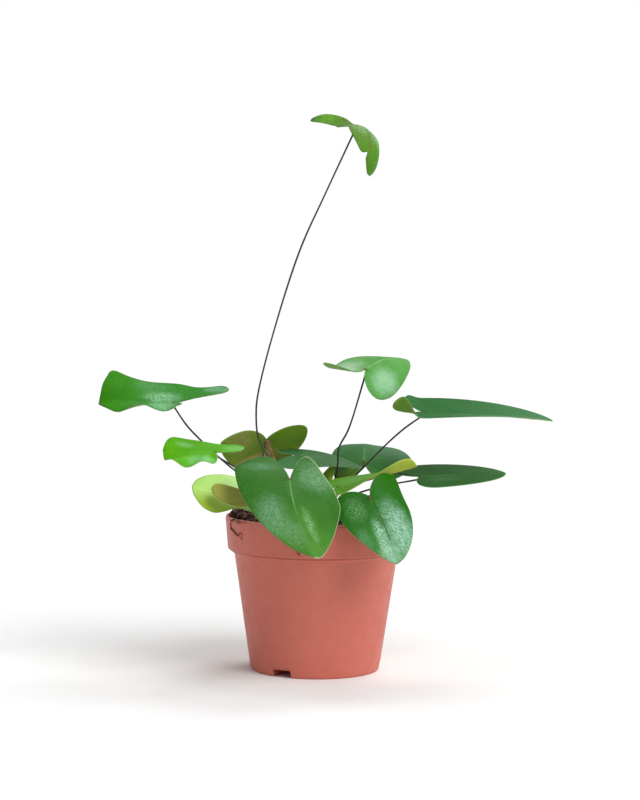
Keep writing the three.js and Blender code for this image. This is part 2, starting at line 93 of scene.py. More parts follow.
def of_half(value: Halves, side: int) -> float:
    """Return the value for one half of a blade, from a pair or from one number for both."""
    return value[side] if isinstance(value, tuple) else value


def rotation(degrees: float, axis: str) -> Matrix:
    """Return the matrix of a turn round an axis."""
    return Matrix.Rotation(math.radians(degrees), 4, axis)


def random_way(rng: random.Random, low: float = -1.0, high: float = 1.0) -> Vector:
    """Return a random vector whose X and Y lie between -1 and 1, and its Z between low and high."""
    return Vector((rng.uniform(-1, 1), rng.uniform(-1, 1), rng.uniform(low, high)))


def random_squeeze(rng: random.Random, *ranges: Pair) -> Matrix:
    """Return the matrix of a random squeeze, each part from its own range."""
    return Matrix.Diagonal((*[rng.uniform(*part) for part in ranges], 1))


def linear(colour: Triple) -> tuple[float, ...]:
    """Turn an sRGB colour from 0 to 255 into a linear one with full alpha."""
    parts = [part / 255 for part in colour]
    return (*[part / 12.92 if part <= 0.04045 else ((part + 0.055) / 1.055) ** 2.4 for part in parts], 1.0)


def along_arc(distance: float, start: float, bend: float) -> Pair:
    """Walk along an arc that starts at an angle and bends evenly.

    Args:
        distance: The length walked, in millimetres.
        start: The first direction, in radians.
        bend: How far the direction turns on the way, in radians.

    Returns:
        The point that is reached.
    """
    if abs(bend) < 1e-4:
        return distance * math.cos(start), distance * math.sin(start)
    end = start + bend
    radius = distance / bend
    return radius * (math.sin(end) - math.sin(start)), radius * (math.cos(start) - math.cos(end))


class Route:
    """A line through points that is read by the share of its length."""

    def __init__(self, points: list[Vector]) -> None:
        """Keep the points and the length up to each.

        Args:
            points: The line's points, in order.
        """
        self.points = points
        self.lengths = [0.0]
        for before, after in zip(points, points[1:]):
            self.lengths.append(self.lengths[-1] + (after - before).length)

    def length(self) -> float:
        """Return the whole length."""
        return self.lengths[-1]

    def at(self, share: float) -> Vector:
        """Find a point on the line.

        Args:
            share: The share of the length, from 0 to 1.

        Returns:
            The point there.
        """
        goal = min(1.0, max(0.0, share)) * self.length()
        low, high = 0, len(self.points) - 1
        while high - low > 1:
            middle = (low + high) // 2
            if self.lengths[middle] <= goal:
                low = middle
            else:
                high = middle
        step = self.lengths[high] - self.lengths[low]
        return self.points[low].lerp(self.points[high], (goal - self.lengths[low]) / max(step, 1e-9))


def bezier_points(corners: list[Pair], steps: int = 48) -> list[Vector]:
    """Sample a cubic Bezier curve.

    Args:
        corners: Its four control points.
        steps: How many equal steps to take.

    Returns:
        The points on it, both ends among them.
    """
    first, second, third, fourth = [Vector(corner) for corner in corners]
    points = []
    for step in range(steps + 1):
        t = step / steps
        rest = 1 - t
        points.append(
            first * rest**3 + second * 3 * rest**2 * t + third * 3 * rest * t**2 + fourth * t**3
        )
    return points


def spline_points(knots: list[Vector], power: float, steps: int = 24) -> list[Vector]:
    """Sample a smooth curve through knots.

    Args:
        knots: The points that the curve passes.
        power: 0 for a uniform curve, 0.5 for a centripetal one.
        steps: How many steps to take between two knots.

    Returns:
        The points on the curve.
    """
    before = knots[0] * 2 - knots[1] if power else knots[0]
    after = knots[-1] * 2 - knots[-2] if power else knots[-1]
    ends = [before, *knots, after]
    points = [knots[0].copy()]
    for index in range(len(knots) - 1):
        p0, p1, p2, p3 = ends[index : index + 4]
        gaps = [max((b - a).length, 1e-6) ** power for a, b in ((p0, p1), (p1, p2), (p2, p3))]
        leave = (p1 - p0) / gaps[0] - (p2 - p0) / (gaps[0] + gaps[1]) + (p2 - p1) / gaps[1]
        reach = (p2 - p1) / gaps[1] - (p3 - p1) / (gaps[1] + gaps[2]) + (p3 - p2) / gaps[2]
        leave = leave * gaps[1]
        reach = reach * gaps[1]
        cubic = (p1 - p2) * 2 + leave + reach
        square = (p2 - p1) * 3 - leave * 2 - reach
        for step in range(1, steps + 1):
            t = step / steps
            points.append(p1 + leave * t + square * t**2 + cubic * t**3)
    return points


# Shader nodes


class Graph:
    """Short calls that place and join the nodes of one material or node group."""

    def __init__(self, tree: bpy.types.NodeTree) -> None:
        """Keep the tree that is written to."""
        self.tree = tree

    def feed(self, socket: bpy.types.NodeSocket, value: Feed) -> None:
        """Join a socket to another one, or set its own value.

        Args:
            socket: The socket that is fed.
            value: The other socket, or the value.
        """
        if isinstance(value, bpy.types.NodeSocket):
            self.tree.links.new(value, socket)
        else:
            socket.default_value = value

    def node(self, kind: str, inputs: dict[Union[str, int], Feed], **settings: object) -> bpy.types.Node:
        """Place a node.

        Args:
            kind: The node's type, without its ShaderNode prefix.
            inputs: What goes into its inputs, by name or number.
            **settings: Its own properties.

        Returns:
            The node.
        """
        made = self.tree.nodes.new("ShaderNode" + kind)
        for name, value in settings.items():
            setattr(made, name, value)
        for name, value in inputs.items():
            self.feed(made.inputs[name], value)
        return made

    def math(self, operation: str, first: Feed, second: Feed = 0.0) -> bpy.types.NodeSocket:
        """Return the result of a Math node."""
        return self.node("Math", {0: first, 1: second}, operation=operation).outputs[0]

    def times(self, first: Feed, second: Feed) -> bpy.types.NodeSocket:
        """Return the product of two values."""
        return self.math("MULTIPLY", first, second)

    def plus(self, first: Feed, second: Feed) -> bpy.types.NodeSocket:
        """Return the sum of two values."""
        return self.math("ADD", first, second)

    def minus(self, first: Feed, second: Feed) -> bpy.types.NodeSocket:
        """Return the first value less the second."""
        return self.math("SUBTRACT", first, second)

    def parts(self, vector: Feed) -> bpy.types.bpy_prop_collection:
        """Return the three parts of a vector."""
        return self.node("SeparateXYZ", {0: vector}).outputs

    def reach(self, vector: Feed) -> bpy.types.NodeSocket:
        """Return the length of a vector."""
        return self.node("VectorMath", {0: vector}, operation="LENGTH").outputs["Value"]

    def step(
        self, value: Feed, low: float, high: float, start: float = 0.0, end: float = 1.0
    ) -> bpy.types.NodeSocket:
        """Map a value softly.

        Args:
            value: The value that is mapped.
            low: Where the soft step starts.
            high: Where it ends.
            start: The result at low.
            end: The result at high.

        Returns:
            The mapped value.
        """
        inputs = {"Value": value, "From Min": low, "From Max": high, "To Min": start, "To Max": end}
        return self.node("MapRange", inputs, interpolation_type="SMOOTHSTEP").outputs[0]

    def blend(self, factor: Feed, first: Feed, second: Feed, mode: str = "MIX") -> bpy.types.NodeSocket:
        """Mix two colours.

        Args:
            factor: The share of the second colour.
            first: The first colour.
            second: The second colour.
            mode: How they are mixed.

        Returns:
            The mixed colour.
        """
        mixer = self.node("Mix", {0: factor}, data_type="RGBA", blend_type=mode)
        self.feed(mixer.inputs[6], first)
        self.feed(mixer.inputs[7], second)
        return mixer.outputs[2]

    def noise(
        self, vector: Feed, scale: float, detail: float = 3.0, rough: float = 0.55
    ) -> bpy.types.NodeSocket:
        """Return the value of a Noise Texture."""
        inputs = {"Vector": vector, "Scale": scale, "Detail": detail, "Roughness": rough}
        return self.node("TexNoise", inputs).outputs[0]

    def bump(self, height: Feed, strength: float, distance: float) -> bpy.types.NodeSocket:
        """Return the normal of a Bump node, with its distance in millimetres."""
        inputs = {"Height": height, "Strength": strength, "Distance": distance * MM}
        return self.node("Bump", inputs).outputs[0]

    def group(self, made: bpy.types.NodeTree, inputs: dict[str, Feed]) -> bpy.types.bpy_prop_collection:
        """Place a node group.

        Args:
            made: The group's own tree.
            inputs: What goes into its inputs.

        Returns:
            The outputs of the group's node.
        """
        return self.node("Group", inputs, node_tree=made).outputs


def new_group(
    name: str, inputs: dict[str, str], outputs: list[str]
) -> tuple[Graph, bpy.types.Node, bpy.types.Node]:
    """Start a shader node group.

    Args:
        name: The group's name.
        inputs: Each input's name and socket type.
        outputs: The names of its outputs, which are numbers.

    Returns:
        Its graph, its input node and its output node.
    """
    tree = bpy.data.node_groups.new(name, "ShaderNodeTree")
    for label, kind in inputs.items():
        tree.interface.new_socket(name=label, in_out="INPUT", socket_type=kind)
    for label in outputs:
        tree.interface.new_socket(name=label, in_out="OUTPUT", socket_type="NodeSocketFloat")
    return Graph(tree), tree.nodes.new("NodeGroupInput"), tree.nodes.new("NodeGroupOutput")


def new_material(name: str) -> tuple[Graph, bpy.types.Node, bpy.types.Material]:
    """Start a material.

    Args:
        name: The material's name.

    Returns:
        Its graph, its Principled BSDF node and the material.
    """
    material = bpy.data.materials.new(name)
    material.use_nodes = True
    return Graph(material.node_tree), material.node_tree.nodes["Principled BSDF"], material


def dress(
    graph: Graph, shader: bpy.types.Node, colour: Feed, rough: Feed, normal: Feed, gloss: float = 0.5
) -> None:
    """Join a material's effects to its shader.

    Args:
        graph: The material's graph.
        shader: Its Principled BSDF node.
        colour: The base colour.
        rough: The roughness.
        normal: The normal of its relief.
        gloss: The strength of its reflections.
    """
    graph.feed(shader.inputs["Base Color"], colour)
    graph.feed(shader.inputs["Roughness"], rough)
    graph.feed(shader.inputs["Normal"], normal)
    shader.inputs["Specular IOR Level"].default_value = gloss


class Groups:
    """The node groups that several materials share, each built once."""

    def __init__(self) -> None:
        """Build the groups."""
        self.leaf = self.leaf_surface()
        self.patch = self.soft_patch()
        self.grain = self.grain_surface()

    def leaf_surface(self) -> bpy.types.NodeTree:
        """Build the fine streaks, veins, midrib and mottling of a blade from its flat coordinates.

        The streaks and veins are noise drawn out along lines that leave the midrib aslant, and that fan
        out round the joint in the lobes behind it.

        Returns:
            The group's tree.
        """
        outputs = ["Streaks", "Veins", "Midrib", "Mottle", "Granules", "Joint", "Length", "Side"]
        graph, given, result = new_group("leaf_surface", {"Flat": "NodeSocketVector"}, outputs)
        flat = given.outputs["Flat"]
        parts = graph.parts(flat)
        along, across = parts[0], parts[1]
        beside = graph.math("ABSOLUTE", across)
        slant, fan_width, half_shift = 0.8, 0.2, 7.0
        ahead = graph.minus(along, graph.times(beside, slant))
        turned = graph.minus(math.atan2(1, slant), graph.math("ARCTAN2", beside, along))
        front = graph.math("GREATER_THAN", ahead, 0.0)
        origin = graph.plus(graph.times(front, ahead),
                            graph.times(graph.minus(1.0, front), graph.times(turned, fan_width)))
        half = graph.times(graph.math("SIGN", across), half_shift)
        drawn = []
        for between, length in ((150.0, 34.0), (34.0, 5.0)):
            places = {0: graph.times(origin, between), 1: graph.times(beside, length), 2: half}
            drawn.append(graph.node("CombineXYZ", places).outputs[0])
        past_joint = graph.step(along, -0.004, 0.006)
        values = {
            "Streaks": graph.noise(drawn[0], 1.0, 3.0, 0.6),
            "Veins": graph.noise(drawn[1], 1.0, 1.0, 0.5),
            "Midrib": graph.times(graph.step(beside, 0.001, 0.0065, 1.0, 0.0), past_joint),
            "Mottle": graph.noise(flat, 9.0, 3.0, 0.5),
            "Granules": graph.noise(flat, 105.0, 2.0, 0.6),
            "Joint": graph.step(graph.reach(flat), 0.005, 0.018, 1.0, 0.0),
            "Length": along,
            "Side": graph.math("GREATER_THAN", across, 0.0),
        }
        for name, value in values.items():
            graph.feed(result.inputs[name], value)
        return graph.tree

    def soft_patch(self) -> bpy.types.NodeTree:
        """Build a soft ragged patch at a place on a blade.

        Returns:
            The group's tree.
        """
        labels = {"Flat": "Vector", "Place": "Location", "Turn": "Rotation", "Size": "Scale"}
        graph, given, result = new_group("soft_patch", dict.fromkeys(labels, "NodeSocketVector"), ["Mask"])
        places = {to: given.outputs[label] for label, to in labels.items()}
        local = graph.node("Mapping", places, vector_type="TEXTURE").outputs[0]
        ragged = graph.times(graph.noise(given.outputs["Flat"], 22.0, 3.0, 0.6), 0.5)
        mask = graph.step(graph.plus(graph.reach(local), ragged), 0.45, 1.25, 1.0, 0.0)
        graph.feed(result.inputs["Mask"], mask)
        return graph.tree

    def grain_surface(self) -> bpy.types.NodeTree:
        """Build fine grain, wide patches and sparse specks from a place in millimetres.

        Returns:
            The group's tree.
        """
        inputs = {"Place": "NodeSocketVector", "Scale": "NodeSocketFloat"}
        outputs = ["Fine", "Patches", "Specks"]
        graph, given, result = new_group("grain_surface", inputs, outputs)
        place = graph.node("VectorMath", {0: given.outputs["Place"]}, operation="SCALE")
        graph.feed(place.inputs["Scale"], given.outputs["Scale"])
        place = place.outputs[0]
        cells = graph.node("TexVoronoi", {"Vector": place, "Scale": 0.55}).outputs["Distance"]
        made = [graph.noise(place, 1.0, 4.0, 0.6), graph.noise(place, 0.11, 3.0, 0.5),
                graph.step(cells, 0.08, 0.2, 1.0, 0.0)]
        for name, value in zip(outputs, made):
            graph.feed(result.inputs[name], value)
        return graph.tree


def place_in_mm(graph: Graph) -> bpy.types.NodeSocket:
    """Return the object's own coordinates in millimetres."""
    coordinates = graph.node("TexCoord", {}).outputs["Object"]
    return graph.node("Mapping", {"Vector": coordinates, "Scale": (1 / MM, 1 / MM, 1 / MM)}).outputs[0]


# Finishes


class Slot(Enum):
    """The material slots."""

    POT = "pot"
    SOIL = "soil"
    CROWN = "crown"
    STIPE = "stipe"
    DARK = "leaf_dark"
    MID = "leaf_mid"
    LIGHT = "leaf_light"
    YOUNG = "leaf_young"
    OLIVE = "leaf_olive"
    BLUE = "leaf_blue"


@dataclass(frozen=True)
class Patch:
    """A soft patch on a blade's upper or under face, in flat millimetres, as a colour and its share.

    A patch is either painted sheen, the lamps' reflection painted into the colour, or a tint of the blade
    itself. Grain is how far the fine streaks and granules break it up.
    """

    place: Pair
    radii: Pair
    colour: Triple = (150, 196, 160)
    strength: float = 0.6
    turn: float = 0.0
    grain: float = 0.7
    upper: bool = True


@dataclass(frozen=True)
class LeafFinish:
    """The colours of one blade: its upper face, its underside and its margin, as sRGB.

    The pair margin_share holds how far the margin's colour shows on the left and on the right half.
    """

    base: Triple
    pale: Triple
    under: Triple
    tip: Triple
    under_tip: Triple = (150, 165, 75)
    margin: Triple = (165, 200, 130)
    margin_share: Pair = (0.2, 0.2)
    rough: float = 0.42
    under_rough: float = 0.62
    gloss: float = 0.1
    under_gloss: float = 0.15
    streak: float = 0.08
    under_streak: float = 0.1
    relief: float = 0.3
    under_relief: float = 0.2
    shade: Triple = (0.6, 0.66, 0.55)
    rib: Triple = (150, 196, 130)
    under_rib: Triple = (95, 80, 40)
    rib_share: float = 0.3
    rib_end: float = 0.65
    joint: Triple = (88, 56, 28)
    length: float = 45.0
    net: float = 0.0
    net_colour: Triple = (84, 60, 32)
    net_scale: float = 34.0
    patches: tuple[Patch, ...] = ()

    def rim_share(self, graph: Graph, side: bpy.types.NodeSocket) -> bpy.types.NodeSocket:
        """Return how far the margin's colour shows on each half."""
        return graph.step(side, 0.0, 1.0, self.margin_share[1], self.margin_share[0])

    def patched(
        self, graph: Graph, groups: Groups, flat: Feed, leaf: bpy.types.bpy_prop_collection, colour: Feed,
        upper: bool
    ) -> Feed:
        """Lay the soft patches, painted sheen and tints, over a colour.

        Args:
            graph: The material's graph.
            groups: The shared node groups.
            flat: The blade's flat coordinates.
            leaf: The outputs of its surface group.
            colour: The colour without patches.
            upper: Whether it is the upper face.

        Returns:
            The colour with patches.
        """
        glitter = graph.plus(graph.times(leaf["Streaks"], 0.55), graph.times(leaf["Granules"], 0.45))
        for patch in self.patches:
            if patch.upper != upper:
                continue
            mask = graph.group(groups.patch, {
                "Flat": flat,
                "Place": (patch.place[0] * UV_PER_MM, patch.place[1] * UV_PER_MM, 0),
                "Turn": (0, 0, math.radians(patch.turn)),
                "Size": (patch.radii[0] * UV_PER_MM, patch.radii[1] * UV_PER_MM, 1),
            })["Mask"]
            grain = graph.step(glitter, 0.44, 0.56, 1 - patch.grain, 1.0)
            share = graph.times(graph.times(mask, patch.strength), grain)
            colour = graph.blend(share, colour, linear(patch.colour))
        return colour

    def netted(self, graph: Graph, flat: Feed, colour: Feed) -> Feed:
        """Lay a net of fine brown lines over a colour.

        Args:
            graph: The material's graph.
            flat: The blade's flat coordinates.
            colour: The colour without the net.

        Returns:
            The colour with the net.
        """
        places = {"Vector": flat, "Scale": self.net_scale}
        edges = graph.node("TexVoronoi", places, feature="DISTANCE_TO_EDGE").outputs[0]
        lines = graph.times(graph.step(edges, 0.05, 0.14, 1.0, 0.0), self.net)
        return graph.blend(lines, colour, linear(self.net_colour))

    def face(self, name: str, groups: Groups, upper: bool) -> bpy.types.Material:
        """Make the material of one face.

        Args:
            name: The blade's name.
            groups: The shared node groups.
            upper: Whether it is the upper face.

        Returns:
            The material.
        """
        graph, shader, material = new_material(name + ("_upper" if upper else "_under"))
        flat = graph.node("UVMap", {}, uv_map=FLAT_UV).outputs[0]
        leaf = graph.group(groups.leaf, {"Flat": flat})
        if upper:
            start, end, rib = self.base, self.tip, self.rib
            rough, gloss, relief, streak = self.rough, self.gloss, self.relief, self.streak
        else:
            start, end, rib = self.under, self.under_tip, self.under_rib
            rough, gloss, relief, streak = (
                self.under_rough, self.under_gloss, self.under_relief, self.under_streak)
        scale = self.length * UV_PER_MM
        colour = graph.blend(graph.step(leaf["Length"], 0.1 * scale, scale), linear(start), linear(end))
        mottle = graph.times(graph.step(leaf["Mottle"], 0.35, 0.7), 0.3)
        colour = graph.blend(mottle, colour, (*self.shade, 1), "MULTIPLY")
        streaks = graph.times(graph.step(leaf["Streaks"], 0.45, 0.7), streak)
        colour = graph.blend(streaks, colour, linear(self.pale))
        colour = self.patched(graph, groups, flat, leaf, colour, upper)
        if self.net and not upper:
            colour = self.netted(graph, flat, colour)
        rib_end = self.rib_end * scale
        fade = graph.step(leaf["Length"], 0.5 * rib_end, rib_end, self.rib_share, 0.0)
        colour = graph.blend(graph.times(leaf["Midrib"], fade), colour, linear(rib))
        margin = graph.node("Attribute", {}, attribute_name=MARGIN_LAYER).outputs["Fac"]
        rim = graph.times(graph.step(margin, 0.1, 0.6, 1.0, 0.0), self.rim_share(graph, leaf["Side"]))
        colour = graph.blend(rim, colour, linear(self.margin))
        colour = graph.blend(graph.times(leaf["Joint"], 0.7), colour, linear(self.joint))
        roughness = graph.step(leaf["Granules"], 0.3, 0.7, rough - 0.08, rough + 0.12)
        height = graph.plus(graph.times(leaf["Streaks"], 0.5), graph.times(leaf["Veins"], 0.7))
        height = graph.plus(height, graph.times(leaf["Granules"], 0.3))
        height = graph.minus(height, graph.times(leaf["Midrib"], 0.4))
        dress(graph, shader, colour, roughness, graph.bump(height, 1.0, relief), gloss)
        shader.inputs["Subsurface Weight"].default_value = 0.15
        shader.inputs["Subsurface Radius"].default_value = (0.6, 1.0, 0.3)
        shader.inputs["Subsurface Scale"].default_value = MM
        return material

    def edge(self, name: str, groups: Groups) -> bpy.types.Material:
        """Make the material of the thin edge round a blade.

        Args:
            name: The blade's name.
            groups: The shared node groups.

        Returns:
            The material.
        """
        graph, shader, material = new_material(name + "_edge")
        flat = graph.node("UVMap", {}, uv_map=FLAT_UV).outputs[0]
        leaf = graph.group(groups.leaf, {"Flat": flat})
        granules = leaf["Granules"]
        share = graph.plus(self.rim_share(graph, leaf["Side"]), graph.times(granules, 0.1))
        colour = graph.blend(share, linear(self.base), linear(self.margin))
        rough = graph.step(granules, 0.3, 0.7, 0.45, 0.6)
        dress(graph, shader, colour, rough, graph.bump(granules, 0.3, 0.05), 0.2)
        return material


@dataclass(frozen=True)
class StalkFinish:
    """Glossy near-black stipes that turn brown at the foot, between two heights."""

    dark: Triple = (22, 18, 20)
    light: Triple = (50, 44, 46)
    foot: Triple = (78, 44, 26)
    foot_heights: Pair = (94.0, 108.0)
    rough: float = 0.24

    def material(self, name: str, groups: Groups) -> bpy.types.Material:
        """Make the material.

        Args:
            name: Its name.
            groups: The shared node groups.

        Returns:
            The material.
        """
        graph, shader, material = new_material(name)
        place = place_in_mm(graph)
        fine = graph.group(groups.grain, {"Place": place, "Scale": 2.4})["Fine"]
        colour = graph.blend(graph.step(fine, 0.4, 0.75), linear(self.dark), linear(self.light))
        foot = graph.step(graph.parts(place)[2], *self.foot_heights, 0.8, 0.0)
        colour = graph.blend(foot, colour, linear(self.foot))
        rough = graph.step(fine, 0.3, 0.8, self.rough, self.rough + 0.2)
        dress(graph, shader, colour, rough, graph.bump(fine, 0.4, 0.08))
        return material


@dataclass(frozen=True)
class PlasticFinish:
    """The pot's matt terracotta-coloured plastic, with painted shade in the crease under the rim band and a
    painted highlight along the lip.
    """

    base: Triple = (198, 107, 92)
    deep: Triple = (180, 97, 82)
    dust: Triple = (214, 150, 132)
    # Painted shade: the colour that darkens the crease under the rim band.
    dirt_and_shade: Triple = (96, 44, 36)
    # Painted highlight: the colour that lightens the top of the lip.
    lip_highlight: Triple = (222, 148, 134)
    crease: Pair = (68.9, 69.9)
    lip: Pair = (87.2, 88.6)
    rough: float = 0.5

    def material(self, name: str, groups: Groups) -> bpy.types.Material:
        """Make the material.

        Args:
            name: Its name.
            groups: The shared node groups.

        Returns:
            The material.
        """
        graph, shader, material = new_material(name)
        place = place_in_mm(graph)
        grain = graph.group(groups.grain, {"Place": place, "Scale": 1.3})
        drawn = graph.node("Mapping", {"Vector": place, "Scale": (0.05, 0.05, 1.2)}).outputs[0]
        rings = graph.noise(drawn, 1.0, 2.0)
        patches = graph.step(grain["Patches"], 0.35, 0.7)
        colour = graph.blend(graph.times(patches, 0.2), linear(self.base), linear(self.deep))
        colour = graph.blend(graph.times(grain["Specks"], 0.08), colour, linear(self.dust))
        height = graph.parts(place)[2]
        low, high = self.crease
        above_low = graph.step(height, low - 0.5, low)
        inside = graph.times(above_low, graph.step(height, high - 0.4, high, 1.0, 0.0))
        # Painted shade in the crease under the rim band.
        colour = graph.blend(graph.times(inside, 0.5), colour, linear(self.dirt_and_shade))
        # Painted highlight along the top of the lip.
        colour = graph.blend(graph.times(graph.step(height, *self.lip), 0.8), colour, linear(self.lip_highlight))
        rough = graph.step(patches, 0.0, 1.0, self.rough - 0.04, self.rough + 0.06)
        relief = graph.plus(graph.times(grain["Fine"], 0.6), graph.times(rings, 0.6))
        dress(graph, shader, colour, rough, graph.bump(relief, 0.4, 0.04), 0.3)
        return material


@dataclass(frozen=True)
class EarthFinish:
    """Anything made of small bits in two browns: peat, crumbs, fibres, scales and dried roots."""

    dark: Triple
    light: Triple
    scale: float = 1.2
    rough: float = 0.9
    relief: float = 0.6
    contrast: Pair = (0.36, 0.66)
    specks: float = 0.0
    speck_colour: Triple = (206, 176, 170)

    def material(self, name: str, groups: Groups) -> bpy.types.Material:
        """Make the material.

        Args:
            name: Its name.
            groups: The shared node groups.

        Returns:
            The material.
        """
        graph, shader, material = new_material(name)
        grain = graph.group(groups.grain, {"Place": place_in_mm(graph), "Scale": self.scale})
        fine = grain["Fine"]
        mix = graph.plus(graph.times(fine, 0.6), graph.times(grain["Patches"], 0.4))
        colour = graph.blend(graph.step(mix, *self.contrast), linear(self.dark), linear(self.light))
        colour = graph.blend(graph.times(grain["Specks"], self.specks), colour, linear(self.speck_colour))
        rough = graph.step(fine, 0.3, 0.7, self.rough - 0.1, self.rough)
        dress(graph, shader, colour, rough, graph.bump(fine, 0.8, self.relief), 0.2)
        return material


# Meshes


def placed(name: str, data: bpy.types.ID) -> bpy.types.Object:
    """Put a mesh, curve, lamp or camera in the scene.

    Args:
        name: The object's name.
        data: What it shows.

    Returns:
        The object.
    """
    made = bpy.data.objects.new(name, data)
    bpy.context.scene.collection.objects.link(made)
    return made


def finished(
    name: str, mesh: bpy.types.Mesh, slot: Slot, *materials: bpy.types.Material
) -> bpy.types.Object:
    """Place a mesh in the scene as a piece of the plant.

    Args:
        name: The piece's name.
        mesh: Its mesh, in metres and in place.
        slot: Not used.
        *materials: Its materials, in the order of the mesh's slots.

    Returns:
        The piece.
    """
    piece = placed(name, mesh)
    mesh.materials.clear()
    for material in materials:
        mesh.materials.append(material)
    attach(piece, BODY)
    return piece


def mesh_of(name: str, form: bmesh.types.BMesh, smooth: bool = True) -> bpy.types.Mesh:
    """Turn a bmesh into a mesh and free it.

    Args:
        name: The mesh's name.
        form: The bmesh, in metres.
        smooth: Whether its faces are shaded smoothly.

    Returns:
        The mesh.
    """
    for face in form.faces:
        face.smooth = smooth
    mesh = bpy.data.meshes.new(name)
    form.to_mesh(mesh)
    form.free()
    return mesh


def revolved(profile: list[Pair], sides: int, rounding: float = 0.0) -> bmesh.types.BMesh:
    """Turn a section round the upright axis into a closed form.

    Args:
        profile: The section's points as radius and height, with both ends on the axis.
        sides: How many steps go round.
        rounding: How far each corner is cut back and rounded, in millimetres.

    Returns:
        The form, in metres.
    """
    form = bmesh.new()
    corners = [form.verts.new((radius * MM, 0, z * MM)) for radius, z in profile]
    for before, after in zip(corners, corners[1:]):
        form.edges.new((before, after))
    if rounding:
        bmesh.ops.bevel(form, geom=corners[1:-1], offset=rounding * MM, segments=3, profile=0.5,
                        affect="VERTICES", material=-1)
    bmesh.ops.spin(form, geom=form.verts[:] + form.edges[:], cent=(0, 0, 0), axis=(0, 0, 1),
                   angle=2 * math.pi, steps=sides, use_merge=True)
    bmesh.ops.remove_doubles(form, verts=form.verts, dist=0.001 * MM)
    bmesh.ops.recalc_face_normals(form, faces=form.faces)
    return form


def baked(name: str, source: bpy.types.Object) -> bpy.types.Mesh:
    """Keep an object's mesh with its modifiers applied, and remove the object.

    Args:
        name: The new mesh's name.
        source: The object.

    Returns:
        The mesh.
    """
    graph = bpy.context.evaluated_depsgraph_get()
    mesh = bpy.data.meshes.new_from_object(source.evaluated_get(graph))
    mesh.name = name
    bpy.data.objects.remove(source)
    return mesh


Strand = list[tuple[Vector, float]]


def strand_mesh(name: str, strands: list[Strand], rounding: int = 0) -> bpy.types.Mesh:
    """Make round strands.

    Args:
        name: The mesh's name.
        strands: Each strand's points with the radius there, in millimetres.
        rounding: 0 for four sides round a strand, and two more for each step up.

    Returns:
        One mesh of all the strands, in metres.
    """
    curve = bpy.data.curves.new(name, "CURVE")
    curve.dimensions = "3D"
    curve.bevel_depth = MM
    curve.bevel_resolution = rounding
    curve.use_fill_caps = True
    for strand in strands:
        spline = curve.splines.new("POLY")
        spline.points.add(len(strand) - 1)
        for point, (place, radius) in zip(spline.points, strand):
            point.co = (*(place * MM), 1)
            point.radius = radius
        spline.use_smooth = True
    return baked(name, placed(name, curve))


@dataclass(frozen=True)
class Hairs:
    """Thin hairs of one kind: their lengths, the radius at the root, and how far a tip wanders."""

    lengths: Pair
    radius: float
    sag: float

    def grow(self, root: Vector, direction: Vector, rng: random.Random) -> Strand:
        """Draw one hair.

        Args:
            root: Where it grows.
            direction: The way that it leaves.
            rng: The source of chance.

        Returns:
            The strand.
        """
        ahead = direction.normalized() * rng.uniform(*self.lengths)
        drift = random_way(rng, -1.2, 0.4) * self.sag
        shares = (0.0, 0.35, 0.7, 1.0)
        return [(root + ahead * share + drift * share**2, self.radius * (1.02 - share)) for share in shares]


def add_crumb(
    form: bmesh.types.BMesh, place: Vector, size: float, shape: Matrix
) -> dict[str, list[bmesh.types.BMVert]]:
    """Add one crumb to a form.

    Args:
        form: What it is added to.
        place: Its middle, in millimetres.
        size: Its radius, in millimetres.
        shape: Its turn and squeeze.

    Returns:
        The operator's result, with the crumb's corners.
    """
    matrix = Matrix.Translation(place * MM) @ shape
    return bmesh.ops.create_icosphere(form, subdivisions=1, radius=size * MM, matrix=matrix)


# The pot


